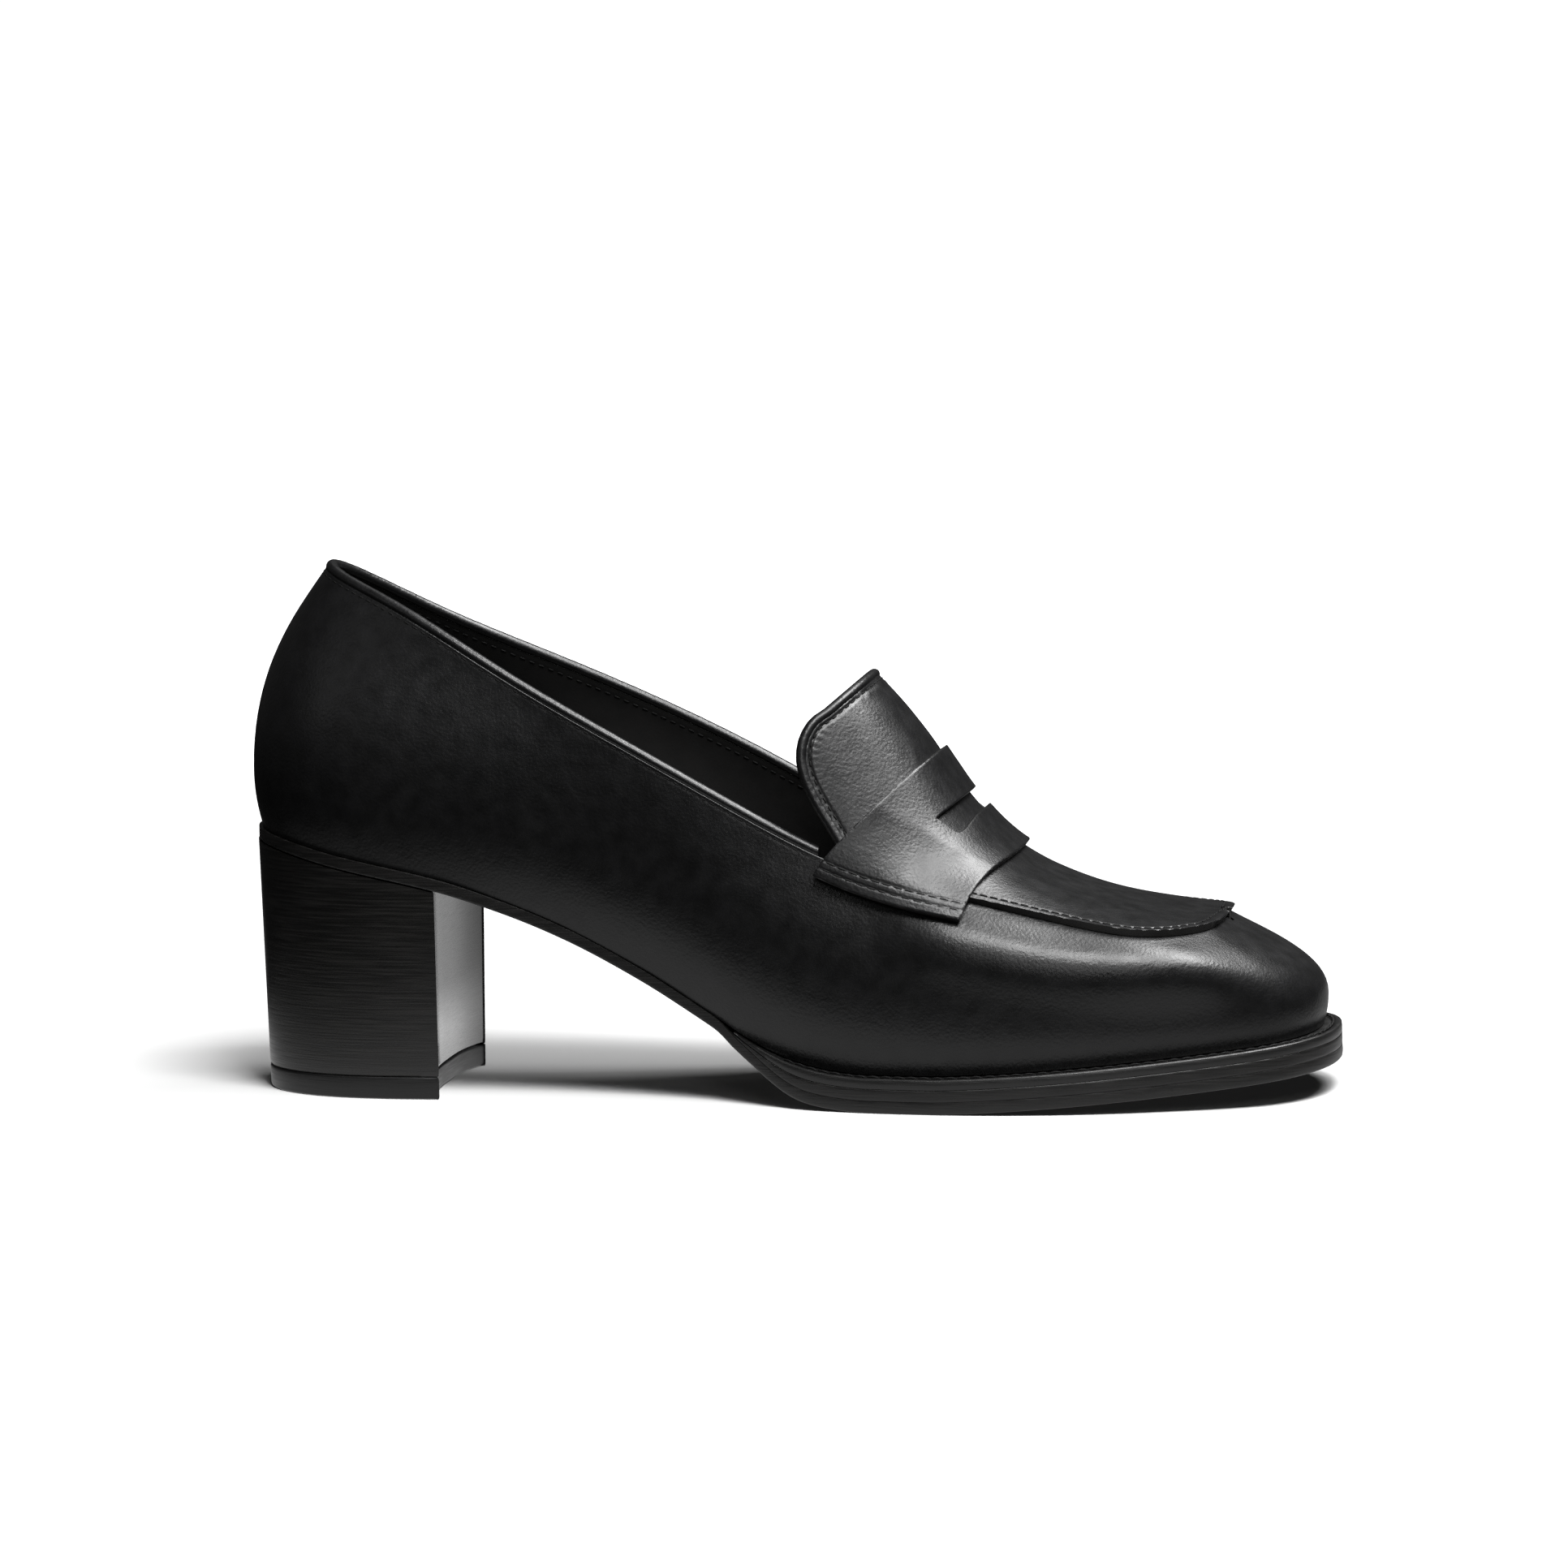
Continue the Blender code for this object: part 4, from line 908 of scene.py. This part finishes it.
def add_sole(finish):
    """Outsole, midsole and welt with its stitches, and the sock over the insole."""
    fore, full = fore_loop(), full_loop()
    outsole_top = layer_z(WELT_THICKNESS + MIDSOLE_THICKNESS, 2)
    add_layer("outsole_layer", full, OUTSOLE_EDGE, outsole_top,
              lambda x: outsole_top(x) - OUTSOLE_THICKNESS, finish["sole"], "outsole")
    add_layer("midsole_layer", fore, MIDSOLE_EDGE, layer_z(WELT_THICKNESS, 1),
              layer_z(WELT_THICKNESS + MIDSOLE_THICKNESS, 1), finish["sole"], "midsole")
    add_layer("welt_strip", fore, WELT_TOP, layer_z(0.0, 0), layer_z(WELT_THICKNESS, 0),
              finish["welt"], "welt")
    t = fore[0]
    plan = loop_xy(t, sole_edge(t) - 1.95 * MM)
    share = np.clip(wedge(plan[:, 0]) * WELT_THICKNESS / 0.002, 0, 1)
    line = np.column_stack([plan, layer_z(0.0, 0)(plan[:, 0]) - 0.10 * MM * share])
    up = np.tile([0, 0, 1.0], (len(line), 1))
    shown = sole_edge(t) > 3.0 * MM
    add_stitches("welt_stitches", line[shown], up[shown], WELT_STITCH, finish["thread"], arch=0.26 * MM)
    t, pairs = full
    inset = UPPER_WALL * 1000 + 0.15
    rings = []
    for further, down in ((9.0, 0.0), (1.0, 0.0), (0.0, 0.2), (0.0, 1.0), (9.0, 1.0)):
        plan = loop_xy(t, np.full(len(t), (-inset - further) * MM))
        low = insole_low_z(plan[:, 0])
        rings.append(np.column_stack([plan, low + INSOLE_THICKNESS * (1 - down)]))
    add_plate("sock", rings, pairs, [finish["sock"]], "insole")


def heel_outline(base):
    """The heel's plan: round the back from one breast corner to the other, then the hollow breast."""
    end = t_at(np.array(HEEL_LENGTH), FOOT_X)
    t = np.mod(np.linspace(-end, end, HEEL_BACK_POINTS), 2)
    side = loop_xy(t, np.full(len(t), SEAT_EDGE))
    side[[0, -1], 0] = HEEL_LENGTH
    if base:
        width = HEEL_BASE_WIDTH / np.ptp(side[:, 1])
        length = 1 - HEEL_BACK_RAKE / HEEL_LENGTH
        side = np.column_stack([HEEL_LENGTH + (side[:, 0] - HEEL_LENGTH) * length, side[:, 1] * width])
    s = np.linspace(1, -1, 61)[1:-1]
    breast = HEEL_LENGTH - BREAST_HOLLOW * (1 - np.abs(s) ** 3)
    return np.vstack([side, np.column_stack([breast, s * side[-1, 1]])])


def shrink(plan, inset):
    """A closed outline moved inward by an inset."""
    along = unit(np.roll(plan, -1, axis=0) - np.roll(plan, 1, axis=0))
    inward = np.column_stack([-along[:, 1], along[:, 0]])
    middle = plan.mean(0)
    inward *= np.sign(((middle - plan) * inward).sum(1, keepdims=True))
    return plan + inward * inset


def stack_solid(name, levels, materials, node):
    """A solid from levels of an outline, given as plans and heights. Its breast takes the second material."""
    rings = np.stack([np.column_stack(level) for level in levels])
    columns = rings.shape[1]
    faces = grid_quads(len(rings), columns, closed=True)
    picks = [int(k % columns >= HEEL_BACK_POINTS) for k in range(len(faces))] + [0, 0]
    faces += [list(range(columns))[::-1], list(range((len(rings) - 1) * columns, len(rings) * columns))]
    add_piece(name, rings.reshape(-1, 3), faces, materials, node, picks, sharp=35)


def add_heel(finish):
    """The stacked heel and the top piece under it."""
    top, base = heel_outline(False), heel_outline(True)
    seat = feather_z(top[:, 0]) - 2 * GAP - OUTSOLE_THICKNESS
    flat = np.ones(len(top))

    def plan_at(z):
        return base + (top - base) * z / seat.mean()

    # Heights above the floor and how far the plan is drawn in there, both in mm
    lift = ((0.0, 0.5), (0.25, 0.12), (0.7, 0.0), (4.4, 0.0), (4.75, 0.08), (5.0, 0.30))
    levels = [(shrink(plan_at(z * MM), inset * MM), flat * z * MM) for z, inset in lift]
    stack_solid("top_piece", levels, [finish["lift"], finish["lift"]], "heel_lift")
    rows = ((LIFT_THICKNESS + 0.12 * MM, 0.28), (LIFT_THICKNESS + 0.4 * MM, 0.05))
    levels = [(shrink(plan_at(z), inset * MM), flat * z) for z, inset in rows]
    low = rows[-1][0]
    for share in np.linspace(0.02, 1, 24):
        level = low + (seat - low) * share
        levels.append((plan_at(level[:, None]), level))
    stack_solid("heel_stack", levels, [finish["stack"], finish["breast"]], "heel_block")


# Materials

def fill(tree, node, inputs):
    """Sets a node's inputs, or links them."""
    for key, value in inputs.items():
        if isinstance(value, bpy.types.NodeSocket):
            tree.links.new(value, node.inputs[key])
        else:
            node.inputs[key].default_value = value


def add_node(tree, kind, inputs=(), **settings):
    """A shader node with its settings and inputs."""
    made = tree.nodes.new("ShaderNode" + kind)
    for key, value in settings.items():
        setattr(made, key, value)
    fill(tree, made, dict(inputs))
    return made


def new_material(name):
    made = bpy.data.materials.new(name)
    made.use_nodes = True
    tree = made.node_tree
    place = add_node(tree, "TexCoord").outputs["Object"]
    return made, tree, tree.nodes["Principled BSDF"], place


def noise(tree, place, size, detail=2.0, stretch=None):
    """Noise whose features are about this size in metres, stretched along an axis if asked."""
    if stretch:
        place = add_node(tree, "Mapping", {"Vector": place, "Scale": stretch}).outputs["Vector"]
    inputs = {"Vector": place, "Scale": 1 / size, "Detail": detail}
    return add_node(tree, "TexNoise", inputs).outputs["Fac"]


def ranged(tree, value, low, high, start=0.3, end=0.7):
    return add_node(tree, "MapRange", {
        "Value": value, "From Min": start, "From Max": end, "To Min": low, "To Max": high}).outputs["Result"]


def blended(tree, factor, first, second):
    """A colour between two, by a factor."""
    inputs = {0: factor, 6: (*first, 1), 7: (*second, 1)}
    return add_node(tree, "Mix", inputs, data_type="RGBA").outputs[2]


def bump(tree, height, distance, normal=None):
    """A surface direction from a height, on top of another direction if there is one."""
    inputs = {"Height": height, "Distance": distance}
    if normal is not None:
        inputs["Normal"] = normal
    return add_node(tree, "Bump", inputs).outputs["Normal"]


def leather(name, dark, light, rough, grain, depth, specular=0.5):
    """Grained leather: fine soft pebbles, and a gentle unevenness in its surface and gloss."""
    made, tree, shader, place = new_material(name)
    patches = noise(tree, place, 0.004, 4.0)
    soft = bump(tree, noise(tree, place, 0.010, 3.0), 0.00012)
    fill(tree, shader, {
        "Normal": bump(tree, noise(tree, place, grain, 1.0), depth, soft),
        "Roughness": ranged(tree, patches, rough - 0.03, rough + 0.05),
        "Base Color": blended(tree, ranged(tree, patches, 0, 1), dark, light),
        "Specular IOR Level": specular})
    return made


def streaked(name, dark, light, rough, layer, depth, coat, coat_rough, cross=False):
    """A cut and waxed leather edge: fine streaks along the layers, and shallow scratches."""
    made, tree, shader, place = new_material(name)
    streaks = noise(tree, place, layer, 3.0, (0.035, 0.035, 1.0))
    normal = bump(tree, noise(tree, place, 0.00035), depth * 0.35, bump(tree, streaks, depth))
    if cross:
        normal = bump(tree, noise(tree, place, 0.0004, 2.0, (0.5, 1.0, 0.06)), depth * 0.7, normal)
    fill(tree, shader, {
        "Normal": normal,
        "Roughness": ranged(tree, streaks, rough - 0.05, rough + 0.10),
        "Base Color": blended(tree, ranged(tree, streaks, 0, 1, 0.45, 0.75), dark, light),
        "Coat Weight": coat, "Coat Roughness": coat_rough})
    return made


def thread(name, dark, light):
    """Twisted waxed thread."""
    made, tree, shader, place = new_material(name)
    twist = noise(tree, place, 0.00018)
    fill(tree, shader, {
        "Normal": bump(tree, twist, 0.00005),
        "Roughness": ranged(tree, twist, 0.62, 0.78),
        "Base Color": blended(tree, twist, dark, light),
        "Specular IOR Level": 0.25})
    return made


def make_finishes():
    """The materials, by what the pieces call them. Sizes and depths of grain and streaks are in metres."""
    ink, ink_light = (0.0045, 0.0043, 0.0041), (0.014, 0.013, 0.0125)
    return {
        "calf": leather("calf", (0.0034, 0.0034, 0.0036), (0.0052, 0.0052, 0.0056),
                        0.35, 0.00070, 0.000060),
        "lining": leather("lining", (0.0030, 0.0029, 0.0028), (0.0055, 0.0052, 0.0050),
                          0.75, 0.0006, 0.00002, specular=0.2),
        "edge": leather("cut_edge", (0.008, 0.0078, 0.0075), (0.014, 0.0135, 0.013),
                        0.52, 0.00025, 0.00003),
        "thread": thread("thread", (0.0010, 0.0010, 0.0010), (0.0030, 0.0030, 0.0030)),
        "sole": streaked("inked_edge", ink, ink_light, 0.40, 0.00035, 0.00007, 0.15, 0.3),
        "welt": streaked("inked_welt", (0.006, 0.006, 0.006), (0.012, 0.0115, 0.011),
                         0.40, 0.0002, 0.00004, 0.2, 0.3),
        "stack": streaked("stacked_leather", ink, (0.016, 0.015, 0.014), 0.34, 0.00042, 0.00006, 0.35, 0.25),
        "breast": streaked("breast_leather", (0.010, 0.0095, 0.009), (0.018, 0.017, 0.016),
                           0.24, 0.00025, 0.00001, 1.0, 0.12, cross=True),
        "lift": streaked("top_piece", (0.006, 0.006, 0.006), (0.011, 0.011, 0.011),
                         0.42, 0.0003, 0.00004, 0.1, 0.3),
        "sock": leather("sock", (0.006, 0.0058, 0.0055), (0.010, 0.0096, 0.0092), 0.60, 0.0005, 0.00002),
    }


# The studio

def direction(azimuth, elevation):
    """The unit vector towards a place seen at this azimuth, 0 in front and 90 at the toe, and elevation."""
    a, e = math.radians(azimuth), math.radians(elevation)
    return np.array([math.sin(a) * math.cos(e), -math.cos(a) * math.cos(e), math.sin(e)])


def look_from(place, target, roll=0.0):
    """Matrix, by columns, for a camera or lamp at a place that looks at a target."""
    back = unit(np.asarray(place) - np.asarray(target))
    right = unit(np.cross([0, 0, 1.0], back))
    up = np.cross(back, right)
    r = math.radians(roll)
    matrix = np.eye(4)
    matrix[0, :3] = right * math.cos(r) - up * math.sin(r)
    matrix[1, :3] = right * math.sin(r) + up * math.cos(r)
    matrix[2, :3], matrix[3, :3] = back, place
    return matrix.tolist()


# Softboxes: azimuth and elevation in degrees, width and height in metres, and radiance
LAMPS = (
    ("front", 12, 58, 0.22, 0.56, 20.0),
    ("front_right", 36, 57, 0.36, 0.48, 18.0),
    ("right", 75, 60, 0.44, 0.50, 14.0),
    ("toe", 104, 59, 0.30, 0.56, 24.0),
    ("toe_back", 134, 60, 0.34, 0.58, 13.0),
    ("top", 150, 80, 0.45, 0.45, 2.5),
    ("low_front", 15, 24, 0.30, 0.34, 3.5),
    ("counter", -54, 30, 0.32, 0.30, 0.7),
    ("rear", 192, 50, 0.40, 0.40, 0.8),
)
LAMP_DISTANCE = 1.35
FLOOR_REACH = 6.0

# The lamp that only the floor takes light from, which throws the shadow behind the shoe
FLOOR_LAMP = ("floor_lamp", 30, 60, 0.50, 0.50, 60.0)


def add_lamps(floor):
    """The softboxes, all turned to the shoe, the last one for the floor alone."""
    target = np.array([0.0, 0.0, 0.05])
    lit = bpy.data.collections.new("lit_by_floor_lamp")
    lit.objects.link(floor)
    for name, azimuth, elevation, width, height, radiance in (*LAMPS, FLOOR_LAMP):
        lamp = bpy.data.lights.new(name, "AREA")
        lamp.shape = "RECTANGLE"
        lamp.size, lamp.size_y = width, height
        lamp.energy = radiance * math.pi * width * height
        made = add_object(name, lamp)
        place = target + direction(azimuth, elevation) * LAMP_DISTANCE
        made.matrix_world = look_from(place, target)
    made.light_linking.receiver_collection = lit


def add_world():
    """White to the camera, and a dim grey room to everything that is lit by it."""
    world = bpy.data.worlds.new("studio")
    world.use_nodes = True
    bpy.context.scene.world = world
    tree = world.node_tree
    tree.nodes.clear()
    seen = add_node(tree, "Background", {"Color": (1, 1, 1, 1), "Strength": 1.05})
    room = add_node(tree, "Background", {"Color": (1, 1, 1, 1), "Strength": 0.035})
    camera_ray = add_node(tree, "LightPath").outputs["Is Camera Ray"]
    mix = add_node(tree, "MixShader", {0: camera_ray, 1: room.outputs[0], 2: seen.outputs[0]})
    add_node(tree, "OutputWorld", {"Surface": mix.outputs[0]})


def add_floor():
    """A large white floor, which glows more away from the shoe. What the shoe's polished side mirrors of it
    is a painted reflection: glossy rays see an emission, dimmer than the lit floor, strongest near the shoe
    and in a patch behind it.
    """
    corners = [(x * FLOOR_REACH, y * FLOOR_REACH, 0) for x, y in ((-1, -1), (1, -1), (1, 1), (-1, 1))]
    mesh = bpy.data.meshes.new("floor")
    mesh.from_pydata(corners, [], [(0, 1, 2, 3)])
    made, tree, shader, place = new_material("floor_white")
    away = add_node(tree, "VectorMath", {0: place}, operation="LENGTH").outputs["Value"]
    fill(tree, shader, {
        "Base Color": blended(tree, noise(tree, place, 0.05), (0.335,) * 3, (0.34,) * 3),
        "Emission Color": (1, 1, 1, 1),
        "Emission Strength": ranged(tree, away, 0.0, 1.2, 0.22, 0.75),
        "Roughness": 0.9,
        "Specular IOR Level": 0.0})
    mesh.materials.append(made)
    # Painted reflection: glossy rays see this emission instead of the lit floor, strongest close round the
    # shoe and in a patch behind it
    flat = add_node(tree, "Mapping", {"Vector": place, "Scale": (0.7, 1.0, 1.0)}).outputs["Vector"]
    close = add_node(tree, "VectorMath", {0: flat}, operation="LENGTH").outputs["Value"]
    near = ranged(tree, close, 0.70, 0.01, 0.09, 0.155)
    behind = add_node(tree, "VectorMath", {0: place, 1: (0.02, 0.30, 0.0)}, operation="DISTANCE")
    patch = ranged(tree, behind.outputs["Value"], 0.44, 0.0, 0.16, 0.30)
    total = add_node(tree, "Math", {0: near, 1: patch}, operation="ADD").outputs[0]
    painted_reflection = add_node(tree, "Emission", {"Strength": total}).outputs[0]
    glossy_ray = add_node(tree, "LightPath").outputs["Is Glossy Ray"]
    mix = add_node(tree, "MixShader", {0: glossy_ray, 1: shader.outputs[0], 2: painted_reflection})
    fill(tree, tree.nodes["Material Output"], {"Surface": mix.outputs[0]})
    floor = add_object("floor", mesh)
    floor.visible_diffuse = False
    return floor


# The photograph's camera: focal length and picture in pixels, and its place round the target
FOCAL_PIXELS = 11100
PICTURE_PIXELS = 1932
CAMERA_AZIMUTH, CAMERA_ELEVATION, CAMERA_ROLL = 9.91, 6.91, 0.88
CAMERA_DISTANCE = 2.0
CAMERA_TARGET = np.array([0.12037, 0.0, 0.06778]) - ORIGIN


def add_camera():
    """A long lens, a little above the shoe and towards its toe."""
    lens = bpy.data.cameras.new("camera")
    lens.sensor_width = 36
    lens.lens = lens.sensor_width * FOCAL_PIXELS / PICTURE_PIXELS
    lens.clip_end = 20
    made = add_object("camera", lens)
    place = CAMERA_TARGET + CAMERA_DISTANCE * direction(CAMERA_AZIMUTH, CAMERA_ELEVATION)
    made.matrix_world = look_from(place, CAMERA_TARGET, CAMERA_ROLL)
    bpy.context.scene.camera = made


def main():
    finish = make_finishes()
    add_camera()
    add_upper(finish)
    add_apron(finish)
    add_tongue_binding(finish)
    add_collar_binding(finish)
    add_strap(finish)
    add_sole(finish)
    add_heel(finish)
    add_lamps(add_floor())
    add_world()
    bpy.context.scene.view_settings.view_transform = "Standard"


main()
